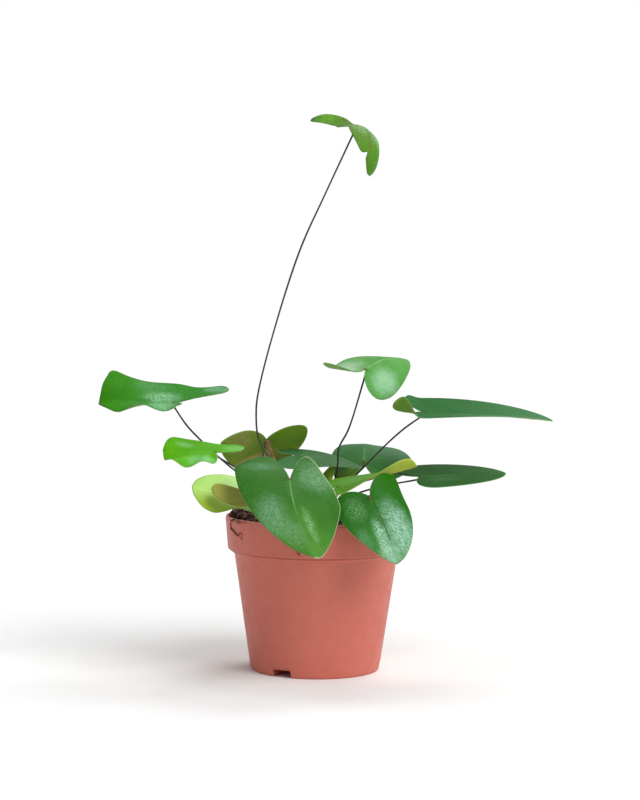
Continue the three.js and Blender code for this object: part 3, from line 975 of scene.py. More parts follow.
@dataclass
class Pot:
    """The moulded nursery pot: rim band, lip, tapered body and three drainage channels."""

    height: float = 88.8
    rim_radius: float = 52.5
    band_foot_radius: float = 51.0
    band_foot: float = 70.0
    body_top_radius: float = 47.2
    body_top: float = 67.0
    foot_radius: float = 37.3
    foot_chamfer: float = 0.8
    wall: float = 1.5
    lip: float = 0.9
    sides: int = 168
    channel_angles: tuple[float, ...] = (-120.0, 0.0, 120.0)
    channel_width: float = 11.5
    channel_height: float = 4.3
    channel_inner: float = 22.0
    roof: float = 1.4
    hole_radius: float = 3.5
    hole_at: float = 28.0
    overcut: float = 5.0
    guard_ring: float = 7.0
    rounding: float = 0.28
    finish: PlasticFinish = PlasticFinish()

    def body_radius(self, z: float) -> float:
        """Return the outer radius of the tapered body at a height."""
        return lerp(self.foot_radius, self.body_top_radius, z / self.body_top)

    def band_inner_radius(self, z: float) -> float:
        """Return the inner radius of the rim band at a height."""
        share = (z - self.band_foot) / (self.height - self.band_foot)
        return lerp(self.band_foot_radius, self.rim_radius, share) - self.wall

    def profile(self) -> list[Pair]:
        """List the wall's section, from the floor's middle round the rim to inside.

        Returns:
            Its points as radius and height.
        """
        return [
            (0.0, 0.0),
            (self.foot_radius - self.foot_chamfer, 0.0),
            (self.foot_radius, self.foot_chamfer),
            (self.body_radius(self.guard_ring), self.guard_ring),
            (self.body_top_radius, self.body_top),
            (self.band_foot_radius - self.lip, self.band_foot - self.lip),
            (self.band_foot_radius, self.band_foot),
            (self.rim_radius, self.height - 2 * self.lip),
            (self.rim_radius - 0.3 * self.lip, self.height - 0.4 * self.lip),
            (self.rim_radius - self.lip, self.height),
            (self.rim_radius - self.wall, self.height - 0.4 * self.lip),
            (self.band_foot_radius - self.wall, self.band_foot + self.wall),
            (self.body_top_radius - self.wall, self.body_top + self.wall),
            (self.body_radius(self.wall) - self.wall, self.wall),
            (0.0, self.wall),
        ]

    def channel_block(
        self, form: bmesh.types.BMesh, angle: float, along: Pair, width: float, heights: Pair
    ) -> None:
        """Add a block that lies along a channel.

        Args:
            form: What it is added to.
            angle: The channel's angle, in degrees.
            along: How far from the axis it starts and ends.
            width: Its width.
            heights: Its lowest and highest place.
        """
        sizes = Matrix.Diagonal(((along[1] - along[0]) * MM, width * MM, (heights[1] - heights[0]) * MM, 1))
        middle = Vector((sum(along) / 2 * MM, 0, sum(heights) / 2 * MM))
        place = rotation(angle, "Z") @ Matrix.Translation(middle) @ sizes
        bmesh.ops.create_cube(form, size=1, matrix=place)

    def hoods(self) -> bmesh.types.BMesh:
        """Build the raised hoods over the channels.

        Returns:
            One form of them all, in metres.
        """
        form = bmesh.new()
        along = (self.channel_inner - self.roof, self.foot_radius - self.wall / 2)
        heights = (self.wall / 2, self.channel_height + self.roof)
        for angle in self.channel_angles:
            self.channel_block(form, angle, along, self.channel_width + 2 * self.roof, heights)
        return form

    def cutters(self) -> bmesh.types.BMesh:
        """Build the channels and their drain holes, as what is cut away.

        Returns:
            One form of them all, in metres.
        """
        form = bmesh.new()
        along = (self.channel_inner, self.foot_radius + self.overcut)
        radius = self.hole_radius * MM
        for angle in self.channel_angles:
            self.channel_block(form, angle, along, self.channel_width, (-self.overcut, self.channel_height))
            hole = Matrix.Translation((self.hole_at * MM, 0, self.channel_height * MM))
            bmesh.ops.create_cone(form, cap_ends=True, segments=32, radius1=radius, radius2=radius,
                                  depth=1.9 * self.overcut * MM, matrix=rotation(angle, "Z") @ hole)
        return form

    def build(self, groups: Groups) -> None:
        """Build and dress the pot.

        Args:
            groups: The shared node groups.
        """
        form = revolved(self.profile(), self.sides, self.rounding)
        shell = placed("pot_shell", mesh_of("pot_shell", form))
        tools = []
        for operation, form in (("UNION", self.hoods()), ("DIFFERENCE", self.cutters())):
            tools.append(placed("pot_tool", mesh_of("pot_tool", form, smooth=False)))
            modifier = shell.modifiers.new(operation, "BOOLEAN")
            modifier.operation = operation
            modifier.solver = "EXACT"
            modifier.use_self = True
            modifier.object = tools[-1]
        mesh = baked("pot_fine", shell)
        for tool in tools:
            bpy.data.objects.remove(tool)
        piece = finished("pot_fine", mesh, Slot.POT, self.finish.material("pot_plastic", groups))
        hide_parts("pot")
        LOG.info("pot: %d faces", len(mesh.polygons))


# The soil and the crown


@dataclass
class Soil:
    """The peat in the pot, with its crumbs and loose fibres."""

    pot: Pot
    edge: float = 85.6
    rise: float = 8.5
    rough: float = 1.3
    crumble: float = 0.75
    lumps: float = 1.6
    clearance: float = 0.3
    rings: int = 70
    sides: int = 200
    crumbs: int = 2300
    fibres: int = 150
    heap_middle: Triple = (-37.5, 2.0, 87.5)
    heap_radii: Triple = (11.5, 22.0, 7.5)
    heap_crumble: float = 0.09
    heap_crumbs: int = 1100
    base: float = 8.0
    crumb_sizes: Pair = (0.3, 1.4)
    fibre_lengths: Pair = (3.0, 11.0)
    fibre_radii: Pair = (0.07, 0.2)
    peat: EarthFinish = EarthFinish((30, 18, 19), (92, 62, 58), scale=1.6, relief=0.7, specks=0.6)
    crumb: EarthFinish = EarthFinish(
        (38, 22, 24), (158, 120, 114), scale=1.3, relief=0.4, contrast=(0.46, 0.62), specks=0.8)
    fibre: EarthFinish = EarthFinish((96, 66, 46), (176, 140, 104), scale=1.4, relief=0.1)

    def reach(self) -> float:
        """Return the radius of the soil's top edge."""
        return self.pot.band_inner_radius(self.edge) - 1.5 * self.clearance

    def bumps(self, x: float, y: float) -> float:
        """Work out the soil's wide unevenness.

        Args:
            x: The place along X.
            y: The place along Y.

        Returns:
            How far it swells there, between -1 and 1.
        """
        return (
            0.5 * math.sin(0.31 * x + 1.3) * math.cos(0.27 * y - 0.4)
            + 0.3 * math.sin(0.83 * x - 0.67 * y)
            + 0.2 * math.cos(1.31 * y + 0.59 * x)
        )

    def top(self, x: float, y: float) -> float:
        """Find the top of the bare soil.

        Args:
            x: The place along X.
            y: The place along Y.

        Returns:
            Its height there.
        """
        share = min(1.0, math.hypot(x, y) / self.pot.band_inner_radius(self.edge))
        dome = self.edge + self.rise * (1 - share**2)
        return dome + self.rough * (1 - 0.6 * share) * self.bumps(x, y)

    def ground(self, x: float, y: float) -> float:
        """Find the top of the soil or of the heap on it.

        Args:
            x: The place along X.
            y: The place along Y.

        Returns:
            The height there.
        """
        share = sum(((value - middle) / radius) ** 2
                    for value, middle, radius in zip((x, y), self.heap_middle, self.heap_radii))
        heap = self.heap_middle[2] + self.heap_radii[2] * math.sqrt(max(0.0, 1 - share))
        return max(self.top(x, y), heap) if share < 1 else self.top(x, y)

    def heap(self) -> bpy.types.Mesh:
        """Build the loose heap against the left side of the rim, half sunk in the soil.

        Returns:
            Its mesh.
        """
        form = bmesh.new()
        bmesh.ops.create_uvsphere(form, u_segments=120, v_segments=60, radius=1)
        for vertex in form.verts:
            way = vertex.co.normalized()
            crumble = 1 + self.heap_crumble * noise.fractal(way * 9, 0.9, 2.1, 4)
            place = [middle + part * radius * crumble
                     for middle, part, radius in zip(self.heap_middle, way, self.heap_radii)]
            vertex.co = Vector(place) * MM
        return mesh_of("soil_heap", form)

    def mass(self) -> bpy.types.Mesh:
        """Build the closed body of soil with a crumbly top.

        Returns:
            The mesh.
        """
        pot = self.pot
        inner = pot.wall + self.clearance
        edge = self.reach()
        profile = [(edge * ring / self.rings, self.edge) for ring in range(self.rings + 1)]
        profile += [
            (pot.band_foot_radius - inner, pot.band_foot + inner),
            (pot.body_top_radius - inner, pot.body_top + inner),
            (pot.body_radius(inner) - inner, self.base),
            (0.0, self.base),
        ]
        form = revolved(profile, self.sides)
        for vertex in form.verts:
            x, y, z = vertex.co / MM
            if z < self.edge - 0.01:
                continue
            place = Vector((x, y, 0))
            crumble = noise.fractal(place * 0.55, 0.9, 2.1, 4) * self.crumble
            lumps = max(0.0, noise.noise(place * 0.28 + Vector((9, 4, 0)))) * self.lumps
            fade = 1 - 0.7 * smoothstep(math.hypot(x, y) / edge, 0.93, 1.0)
            vertex.co.z = (self.top(x, y) + (crumble + lumps) * fade) * MM
        return mesh_of("soil_mass", form)

    def grains(self, rng: random.Random) -> bpy.types.Mesh:
        """Strew crumbs over the soil.

        Args:
            rng: The source of chance.

        Returns:
            The mesh of all crumbs.
        """
        form = bmesh.new()
        for index in range(self.crumbs + self.heap_crumbs):
            angle = rng.uniform(0, 2 * math.pi)
            reach = math.sqrt(rng.uniform(0.02, 1))
            if index < self.crumbs:
                reach *= self.reach() - 0.8
                x, y = reach * math.cos(angle), reach * math.sin(angle)
            else:
                x = self.heap_middle[0] + reach * self.heap_radii[0] * math.cos(angle)
                y = self.heap_middle[1] + reach * self.heap_radii[1] * math.sin(angle)
            size = lerp(*self.crumb_sizes, rng.random() ** 2.8)
            turn = Matrix.Rotation(rng.uniform(0, 6), 4, "X") @ Matrix.Rotation(rng.uniform(0, 6), 4, "Z")
            squeeze = random_squeeze(rng, (0.7, 1.4), (0.7, 1.2), (0.5, 0.9))
            place = Vector((x, y, self.ground(x, y) + 0.5 + 0.3 * size))
            made = add_crumb(form, place, size, turn @ squeeze)
            for vertex in made["verts"]:
                shift = noise.noise_vector(vertex.co / MM * 0.9)
                vertex.co += shift * 0.35 * size * MM
        return mesh_of("soil_crumbs", form, smooth=False)

    def threads(self, rng: random.Random) -> bpy.types.Mesh:
        """Lay loose fibres on the soil.

        Args:
            rng: The source of chance.

        Returns:
            The mesh of all fibres.
        """
        strands = []
        for _ in range(self.fibres):
            angle = rng.uniform(0, 2 * math.pi)
            reach = (self.reach() - 3) * math.sqrt(rng.uniform(0.05, 1))
            x, y = reach * math.cos(angle), reach * math.sin(angle)
            heading = rng.uniform(0, 2 * math.pi)
            length = rng.uniform(*self.fibre_lengths)
            radius = rng.uniform(*self.fibre_radii)
            strand = []
            points = 8
            for step in range(points):
                if math.hypot(x, y) > self.reach() - 0.6:
                    break
                hover = 0.7 + 0.5 * math.sin(step + angle)
                strand.append((Vector((x, y, self.ground(x, y) + hover)), radius * (1.1 - step / points)))
                heading += rng.uniform(-0.5, 0.5)
                x += math.cos(heading) * length / (points - 1)
                y += math.sin(heading) * length / (points - 1)
            if len(strand) > 2:
                strands.append(strand)
        return strand_mesh("soil_fibres", strands)

    def build(self, groups: Groups, rng: random.Random) -> None:
        """Build and dress the soil.

        Args:
            groups: The shared node groups.
            rng: The source of chance.
        """
        piece = finished("soil_mass", self.mass(), Slot.SOIL, self.peat.material("peat", groups))
        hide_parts("soil")
        finished("soil_heap", self.heap(), Slot.SOIL, self.peat.material("peat_heap", groups))
        finished("soil_crumbs", self.grains(rng), Slot.SOIL, self.crumb.material("peat_crumb", groups))
        finished("soil_fibres", self.threads(rng), Slot.SOIL, self.fibre.material("peat_fibre", groups))
        LOG.info("soil: %d crumbs and %d fibres", self.crumbs + self.heap_crumbs, self.fibres)


@dataclass
class Crown:
    """The short rhizome with its brown scales and hairs."""

    radius: float = 8.4
    bottom: float = 86.0
    height: float = 13.6
    scales: int = 420
    scale_lengths: Pair = (1.8, 4.0)
    scale_widths: Pair = (0.35, 0.6)
    hairs: int = 500
    coat: Hairs = Hairs((1.5, 4.5), 0.07, 1.2)
    bark: EarthFinish = EarthFinish((52, 32, 20), (112, 72, 42), scale=1.8, relief=0.4)
    scale: EarthFinish = EarthFinish((98, 60, 30), (178, 128, 74), scale=1.2, rough=0.7, relief=0.1)

    def surface(self, turn: float, lift: float) -> tuple[Vector, Vector]:
        """Find a point on the rhizome.

        Args:
            turn: The angle round the axis, in radians.
            lift: The angle above its middle, in radians.

        Returns:
            The point and the way out of the surface.
        """
        out = Vector((math.cos(turn) * math.cos(lift), math.sin(turn) * math.cos(lift), math.sin(lift)))
        middle = Vector((0, 0, self.bottom + self.height / 2))
        return middle + Vector((out.x * self.radius, out.y * self.radius, out.z * self.height / 2)), out

    def core(self) -> bpy.types.Mesh:
        """Build the lumpy rhizome itself.

        Returns:
            Its mesh.
        """
        form = bmesh.new()
        bmesh.ops.create_uvsphere(form, u_segments=72, v_segments=40, radius=1)
        for vertex in form.verts:
            way = vertex.co.normalized()
            swell = 1 + 0.1 * noise.fractal(way * 2.6, 0.8, 2.0, 3)
            lumps = 0.035 * math.sin(9 * math.atan2(way.y, way.x) + 9 * way.z)
            x, y = way.x * self.radius * (swell + lumps), way.y * self.radius * (swell + lumps)
            z = self.bottom + self.height / 2 * (1 + way.z * min(swell, 1.0))
            vertex.co = Vector((x, y, z)) * MM
        return mesh_of("crown_core", form)

    def scale_coat(self, rng: random.Random) -> bpy.types.Mesh:
        """Cover the rhizome with narrow pointed scales that lie upwards.

        Args:
            rng: The source of chance.

        Returns:
            The mesh of all scales.
        """
        form = bmesh.new()
        for _ in range(self.scales):
            point, out = self.surface(rng.uniform(0, 2 * math.pi), rng.uniform(-0.1, 1.45))
            length = rng.uniform(*self.scale_lengths)
            width = rng.uniform(*self.scale_widths)
            rise = (Vector((0, 0, 1)) + out * rng.uniform(0.35, 1.3)).normalized()
            rise += Vector((rng.uniform(-1, 1), rng.uniform(-1, 1), 0)) * 0.4
            turn = rise.to_track_quat("Z", "Y").to_matrix().to_4x4()
            size = Matrix.Diagonal((width * MM, width * 0.3 * MM, length / 2 * MM, 1))
            centre = Matrix.Translation((point + rise.normalized() * length * 0.35) * MM)
            bmesh.ops.create_cone(form, cap_ends=True, segments=5, radius1=1, radius2=0.08, depth=2,
                                  matrix=centre @ turn @ size)
        return mesh_of("crown_scales", form)

    def fuzz(self, rng: random.Random) -> bpy.types.Mesh:
        """Grow fine hairs out of the rhizome.

        Args:
            rng: The source of chance.

        Returns:
            The mesh of all hairs.
        """
        strands = []
        for _ in range(self.hairs):
            point, out = self.surface(rng.uniform(0, 2 * math.pi), rng.uniform(0, 1.5))
            way = out + random_way(rng, 0.0) * 0.7
            strands.append(self.coat.grow(point, way, rng))
        return strand_mesh("crown_hairs", strands)

    def build(self, groups: Groups, rng: random.Random) -> None:
        """Build and dress the crown.

        Args:
            groups: The shared node groups.
            rng: The source of chance.
        """
        piece = finished("crown_core", self.core(), Slot.CROWN, self.bark.material("rhizome", groups))
        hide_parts("crown")
        coat = self.scale.material("rhizome_scale", groups)
        finished("crown_scales", self.scale_coat(rng), Slot.CROWN, coat)
        finished("crown_hairs", self.fuzz(rng), Slot.CROWN, coat)
        LOG.info("crown: %d scales and %d hairs", self.scales, self.hairs)


# The fronds


@dataclass
class Frond:
    """One frond: a stipe from the soil to a joint, and a bent heart-shaped blade.

    Pairs hold the left and the right half, as seen along the midrib from the joint to the tip. Foot and
    joint are the stipe's ends, and via are points that it passes on its way.
    """

    name: str
    foot: Pair
    joint: Triple
    heading: float
    pitch: float
    length: float
    slot: Slot
    finish: LeafFinish
    via: tuple[Triple, ...] = ()
    roll: float = 0.0
    width: Halves = 50.0
    lobe: Pair = (14.0, 14.0)
    widest: Halves = 0.12
    lobe_spread: Halves = 0.27
    tip_width: float = 0.2
    shoulder: Halves = 0.6
    fold: Pair = (0.0, 0.0)
    tip_fold: Pair = (0.0, 0.0)
    twist: float = 1.0
    curl: Pair = (0.0, 0.0)
    arch: float = 0.0
    tip_droop: float = 0.0
    sway: float = 0.0
    lobe_bend: Pair = (0.0, 0.0)
    lobe_curl: Pair = (0.0, 0.0)
    curl_start: float = 0.5
    curl_span: float = 0.6
    wave: Halves = 0.0
    waves: float = 3.0
    phase: float = 0.0
    radius: float = 0.55
    outline: tuple[tuple[Pair, ...], ...] = ()
    thickness: float = 0.7
    margin_share: float = 0.5
    hub: float = 0.16
    groove: float = 0.3
    groove_width: float = 1.3
    spokes: int = 144
    rings: int = 26
    buried: float = 16.0
    root_lean: float = 0.12
    joint_gap: float = 0.6
    slimming: float = 0.96
    rib_length: float = 0.86
    rib_radii: Pair = (0.5, 0.14)
    margin_hairs: int = 260
    face_hairs: int = 420
    foot_hairs: int = 90
    joint_hairs: int = 26
    scaly: bool = False
    margin_coat: Hairs = Hairs((0.4, 0.9), 0.035, 0.2)
    face_coat: Hairs = Hairs((0.3, 0.7), 0.03, 0.15)
    foot_coat: Hairs = Hairs((1.0, 2.4), 0.05, 0.5)
    joint_coat: Hairs = Hairs((1.0, 1.8), 0.05, 0.3)
    scaly_coat: Hairs = Hairs((1.6, 2.4), 0.2, 0.3)
    rib_finish: EarthFinish = EarthFinish((58, 62, 28), (98, 122, 48), scale=0.8, rough=0.5, relief=0.05)
    hair_finish: EarthFinish = EarthFinish(
        (196, 204, 176), (228, 226, 206), scale=1.0, rough=0.6, relief=0.02)

    def half_outline(self, side: int) -> list[Vector]:
        """Draw one half of the flat outline, from the tip round to the joint.

        Args:
            side: 0 for the left half and 1 for the right one.

        Returns:
            Its points, all on the positive side.
        """
        if self.outline:
            return spline_points([Vector(point) for point in self.outline[side]], 0.0)
        lobe = self.lobe[side]
        width = of_half(self.width, side)
        half = width / 2
        wide = self.length * of_half(self.widest, side)
        lobe_v = width * of_half(self.lobe_spread, side)
        shoulder = of_half(self.shoulder, side) * (wide + lobe)
        points = [
            (self.length, 0), (self.length * 0.94, width * self.tip_width),
            (wide + 0.42 * (self.length - wide), half), (wide, half),
            (wide - shoulder, half), (-lobe, 1.5 * lobe_v), (-lobe, lobe_v),
            (-lobe, 0.5 * lobe_v), (-0.35 * lobe, 0.02 * width), (0, 0),
        ]
        tip, back, sinus = [bezier_points(points[first : first + 4]) for first in (0, 3, 6)]
        return tip + back[1:] + sinus[1:]

    def bend_at(self, share: float) -> float:
        """Return how far the midrib has turned, in radians, at a share of its length."""
        return -math.radians(self.arch) * share - math.radians(self.tip_droop) * share**3

    def bend(self, u: float, v: float, reach: float, turn: float) -> Vector:
        """Bend a flat point into the blade's own frame, with X along the midrib and Z up.

        Args:
            u: The place along the midrib.
            v: The place across it, positive on the left.
            reach: The share of the way from the hub to the margin.
            turn: The share of the way round the margin.

        Returns:
            The bent point.
        """
        side = 0 if v >= 0 else 1
        sign = 1 if v >= 0 else -1
        spread = abs(v) / (of_half(self.width, side) / 2)
        share = u / self.length
        tip_share = max(0.0, share) ** self.twist
        fold = math.radians(lerp(self.fold[side], self.tip_fold[side], tip_share))
        rear = smoothstep(self.curl_start - share, 0.0, self.curl_span)
        curl = math.radians(self.curl[side] + self.lobe_curl[side] * rear) * spread
        across, rise = along_arc(abs(v), fold, curl)
        slope = fold + curl
        beside = min(1.0, abs(v) / WAVE_FREE)
        swing = 2 * math.pi * self.waves * turn + math.radians(self.phase)
        wave = of_half(self.wave, side) * reach**2 * beside * math.sin(swing)
        groove = math.exp(-((v / self.groove_width) ** 2)) * smoothstep(share, 0.0, 0.12) * (1 - share)
        rise -= self.groove * groove
        if u >= 0:
            bend = self.bend_at(share)
            along, drop = along_arc(u, 0.0, bend)
            lift = rise + wave * math.cos(slope)
            y = sign * (across - wave * math.sin(slope)) + self.sway * share**2
            return Vector((along - lift * math.sin(bend), y, drop + lift * math.cos(bend)))
        bend_length = LOBE_BEND_SHARE * self.lobe[side]
        bend_end = max(u, -bend_length)
        bend = math.radians(self.lobe_bend[side]) * -bend_end / bend_length
        arc_x, arc_z = along_arc(bend_end, 0.0, bend)
        along = arc_x + (u - bend_end) * math.cos(bend)
        lift = arc_z + (u - bend_end) * math.sin(bend) + wave
        y = sign * (across - lift * math.sin(slope))
        return Vector((along, y, rise + lift * math.cos(slope)))

    def placement(self) -> Matrix:
        """Return the turn and shift from the blade's own frame to the plant's."""
        turn = rotation(self.heading, "Z") @ rotation(-self.pitch, "Y") @ rotation(self.roll, "X")
        return Matrix.Translation(self.joint) @ turn

    def sheet(self) -> bmesh.types.BMesh:
        """Build the blade's middle surface with its flat coordinates and margin distance.

        Returns:
            The surface, in metres.
        """
        halves = [Route(self.half_outline(side)) for side in (0, 1)]
        hub = Vector((self.length * self.hub, 0))
        placement = self.placement()
        form = bmesh.new()
        bmesh.ops.create_grid(form, x_segments=self.spokes, y_segments=self.rings, size=0.5)
        flat = form.loops.layers.uv.new(FLAT_UV)
        margin = form.verts.layers.float.new(MARGIN_LAYER)
        places = {}
        for vertex in form.verts:
            turn = min(1.0, max(0.0, vertex.co.x + 0.5))
            reach = min(1.0, max(0.0, vertex.co.y + 0.5))
            side = 0 if turn <= 0.5 else 1
            edge = halves[side].at(2 * turn if side == 0 else 2 - 2 * turn).copy()
            edge.y *= 1 if side == 0 else -1
            point = hub.lerp(edge, reach)
            places[vertex] = point
            vertex[margin] = (1 - reach) * (edge - hub).length
            vertex.co = placement @ self.bend(point.x, point.y, reach, turn) * MM
        for face in form.faces:
            for loop in face.loops:
                loop[flat].uv = places[loop.vert] * UV_PER_MM
        bmesh.ops.remove_doubles(form, verts=form.verts, dist=0.0005 * MM)
        bmesh.ops.reverse_faces(form, faces=form.faces)
        return form

    def stipe_route(self, soil: Soil) -> Route:
        """Draw the stipe's middle line, from its buried end to just under the joint.

        Args:
            soil: The soil that it grows from.

        Returns:
            The line.
        """
        x, y = self.foot
        surface = Vector((x, y, soil.top(x, y)))
        first = Vector(self.via[0] if self.via else self.joint)
        lean = self.root_lean * self.buried / (first - surface).length
        bottom = surface - Vector((lean * (first.x - x), lean * (first.y - y), self.buried))
        drop = self.thickness / 2 + self.radius + self.joint_gap
        end = self.placement() @ Vector((0, 0, -drop))
        knots = [bottom, surface, *[Vector(point) for point in self.via], end]
        return Route(spline_points(knots, 0.5))

    def blade(self, groups: Groups, rng: random.Random) -> None:
        """Build and dress the blade with its hairs.

        Args:
            groups: The shared node groups.
            rng: The source of chance.
        """
        form = self.sheet()
        form.normal_update()
        hairs = self.blade_hairs(form, rng)
        mesh = mesh_of(self.name + "_fine", form)
        faces = [self.finish.face(self.name, groups, upper) for upper in (True, False)]
        piece = finished(
            self.name + "_fine", mesh, self.slot, *faces, self.finish.edge(self.name, groups))
        thick = piece.modifiers.new("thickness", "SOLIDIFY")
        thick.thickness = self.thickness * MM
        thick.offset = 0
        thick.vertex_group = self.thickness_group(piece).name
        thick.material_offset = 1
        thick.material_offset_rim = 2
        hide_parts(self.name + "_blade")
        coat = self.hair_finish.material(self.name + "_hair", groups)
        finished(self.name + "_hairs", strand_mesh(self.name + "_hairs", hairs), self.slot, coat)

    def thickness_group(self, piece: bpy.types.Object) -> bpy.types.VertexGroup:
        """Make the blade thinner towards its margin.

        Args:
            piece: The blade.

        Returns:
            The group of corners that holds the share of the full thickness.
        """
        group = piece.vertex_groups.new(name="thickness")
        margin = piece.data.attributes[MARGIN_LAYER].data
        for index, entry in enumerate(margin):
            group.add([index], lerp(self.margin_share, 1.0, smoothstep(entry.value, 0.0, 2.5)), "REPLACE")
        return group

    def blade_hairs(self, form: bmesh.types.BMesh, rng: random.Random) -> list[Strand]:
        """Choose short pale hairs on the margin and the underside.

        Args:
            form: The blade's middle surface.
            rng: The source of chance.

        Returns:
            The strands.
        """
        strands = []
        rim = [vertex for vertex in form.verts if vertex.is_boundary]
        middle = sum((vertex.co for vertex in rim), Vector()) / len(rim)
        small = min(1.0, self.length / 30)
        for _ in range(int(self.margin_hairs * small)):
            vertex = rng.choice(rim)
            out = (vertex.co - middle).normalized() + vertex.normal * rng.uniform(-0.9, 0.5)
            strands.append(self.margin_coat.grow(vertex.co / MM, out, rng))
        faces = form.faces[:]
        for _ in range(int(self.face_hairs * small)):
            face = rng.choice(faces)
            root = face.calc_center_median() / MM - face.normal * self.thickness / 2
            out = -face.normal + random_way(rng) * 0.6
            strands.append(self.face_coat.grow(root, out, rng))
        return strands

    def midrib(self, groups: Groups) -> None:
        """Build the raised midrib that runs out under the blade.

        Args:
            groups: The shared node groups.
        """
        placement = self.placement()
        strand = []
        steps = 24
        for step in range(steps + 1):
            share = step / steps
            turn = self.bend_at(self.rib_length * share)
            up = Vector((-math.sin(turn), 0, math.cos(turn)))
            point = self.bend(self.length * self.rib_length * share, 0.0, 0.0, 0.0) - up * self.thickness / 2
            strand.append((placement @ point, lerp(*self.rib_radii, share)))
        skin = self.rib_finish.material(self.name + "_rib", groups)
        finished(self.name + "_midrib", strand_mesh(self.name + "_midrib", [strand], 2), self.slot, skin)

    def stipe(
        self, soil: Soil, stalk: bpy.types.Material, coat: bpy.types.Material, rng: random.Random
    ) -> None:
        """Build and dress the stipe with the hairs at its foot and at the joint.

        Args:
            soil: The soil that it grows from.
            stalk: The material of a bare stipe.
            coat: The material of the hairs, and of a scaly stipe.
            rng: The source of chance.
        """
        route = self.stipe_route(soil)
        steps = max(16, round(route.length() / 1.5))
        strand = []
        for step in range(steps + 1):
            share = step / steps
            swell = 1 + 0.25 * (1 - smoothstep(share, 0.0, 0.3)) + 0.2 * smoothstep(share, 0.97, 1.0)
            wobble = 1 + 0.06 * math.sin(17 * share + self.heading)
            strand.append((route.at(share), self.radius * swell * wobble * self.slimming))
        tip = self.placement() @ Vector((0.6, 0, -self.thickness / 2))
        strand.append((tip, self.radius * 0.9))
        skin = coat if self.scaly else stalk
        name = self.name + "_stalk"
        piece = finished(name, strand_mesh(name, [strand], 3), Slot.STIPE, skin)
        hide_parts(self.name + "_stipe")
        hairs = []
        buried = self.buried / route.length()
        for _ in range(self.foot_hairs):
            share = buried + (1 - buried) * rng.random() ** 3 * 0.3
            turn = rng.uniform(0, 2 * math.pi)
            out = Vector((math.cos(turn), math.sin(turn), rng.uniform(0, 0.9)))
            hairs.append(self.foot_coat.grow(route.at(share), out, rng))
        hairy = self.joint_hairs / JOINT_HAIRS_PER_MM / route.length()
        kind = self.scaly_coat if self.scaly else self.joint_coat
        for _ in range(self.joint_hairs):
            out = random_way(rng, -1.0, 0.2)
            place = 1.0 - rng.random() ** 2 * hairy
            hairs.append(kind.grow(route.at(place), out, rng))
        finished(name + "_hairs", strand_mesh(name + "_hairs", hairs), Slot.STIPE, coat)

    def build(
        self, groups: Groups, soil: Soil, stalk: bpy.types.Material, coat: bpy.types.Material,
        rng: random.Random
    ) -> None:
        """Build and dress the whole frond.

        Args:
            groups: The shared node groups.
            soil: The soil that it grows from.
            stalk: The material of a bare stipe.
            coat: The material of the hairs, and of a scaly stipe.
            rng: The source of chance.
        """
        self.blade(groups, rng)
        self.midrib(groups)
        self.stipe(soil, stalk, coat, rng)
        LOG.info("frond %s", self.name)


# Flat half outlines, left and right, of the three blades whose lobes no plain heart outline gives
LARGE_OUTLINE = (
    ((43.5, 0), (43, 5), (42, 9), (39, 13), (33, 16.5), (25, 20.5), (15.2, 24), (6, 23), (-1, 19.5), (-5, 14),
     (-6, 9), (-4, 4), (0, 0)),
    ((43.5, 0), (42.5, 8), (40.5, 13.5), (38, 18), (30, 18.5), (19, 20.2), (10, 21.2), (0, 20.6), (-10, 18.5),
     (-18, 20), (-24.5, 21.7), (-28.5, 20), (-29.8, 17), (-28.5, 14), (-24, 12), (-18.5, 9.7), (-13, 7.3),
     (-6, 4), (0, 0)),
)
YOUNG_OUTLINE = (
    ((33, 0), (31, 6), (25, 13), (18, 15), (12, 11.5), (8, 8), (3, 5.5), (-3, 6.5), (-10, 9.5), (-18, 13),
     (-25, 14.5), (-31, 13), (-35, 8), (-33, 2), (-24, 0), (-12, 0), (0, 0)),
    ((33, 0), (31, 7), (25, 14), (16, 19), (7, 20), (0, 17), (-4, 11), (-4, 5), (0, 0)),
)
TALL_OUTLINE = (
    ((40, 0), (38.5, 2.5), (32, 3), (25, 4.5), (15, 7.5), (6, 10), (-2, 11), (-7, 8), (-6, 2.5), (0, 0)),
    ((40, 0), (38.5, 3), (35, 5.5), (31, 6.5), (28, 2.5), (29, 9), (24, 11.5), (17, 12), (10, 10.5),
     (5.5, 8.5), (4, 11.5), (0.5, 13.5), (-1.2, 11.5), (1.7, 7), (-4, 14.8), (-10, 23), (-11.5, 23.3),
     (-12, 21), (-11, 14), (-6, 4), (0, 0)),
)


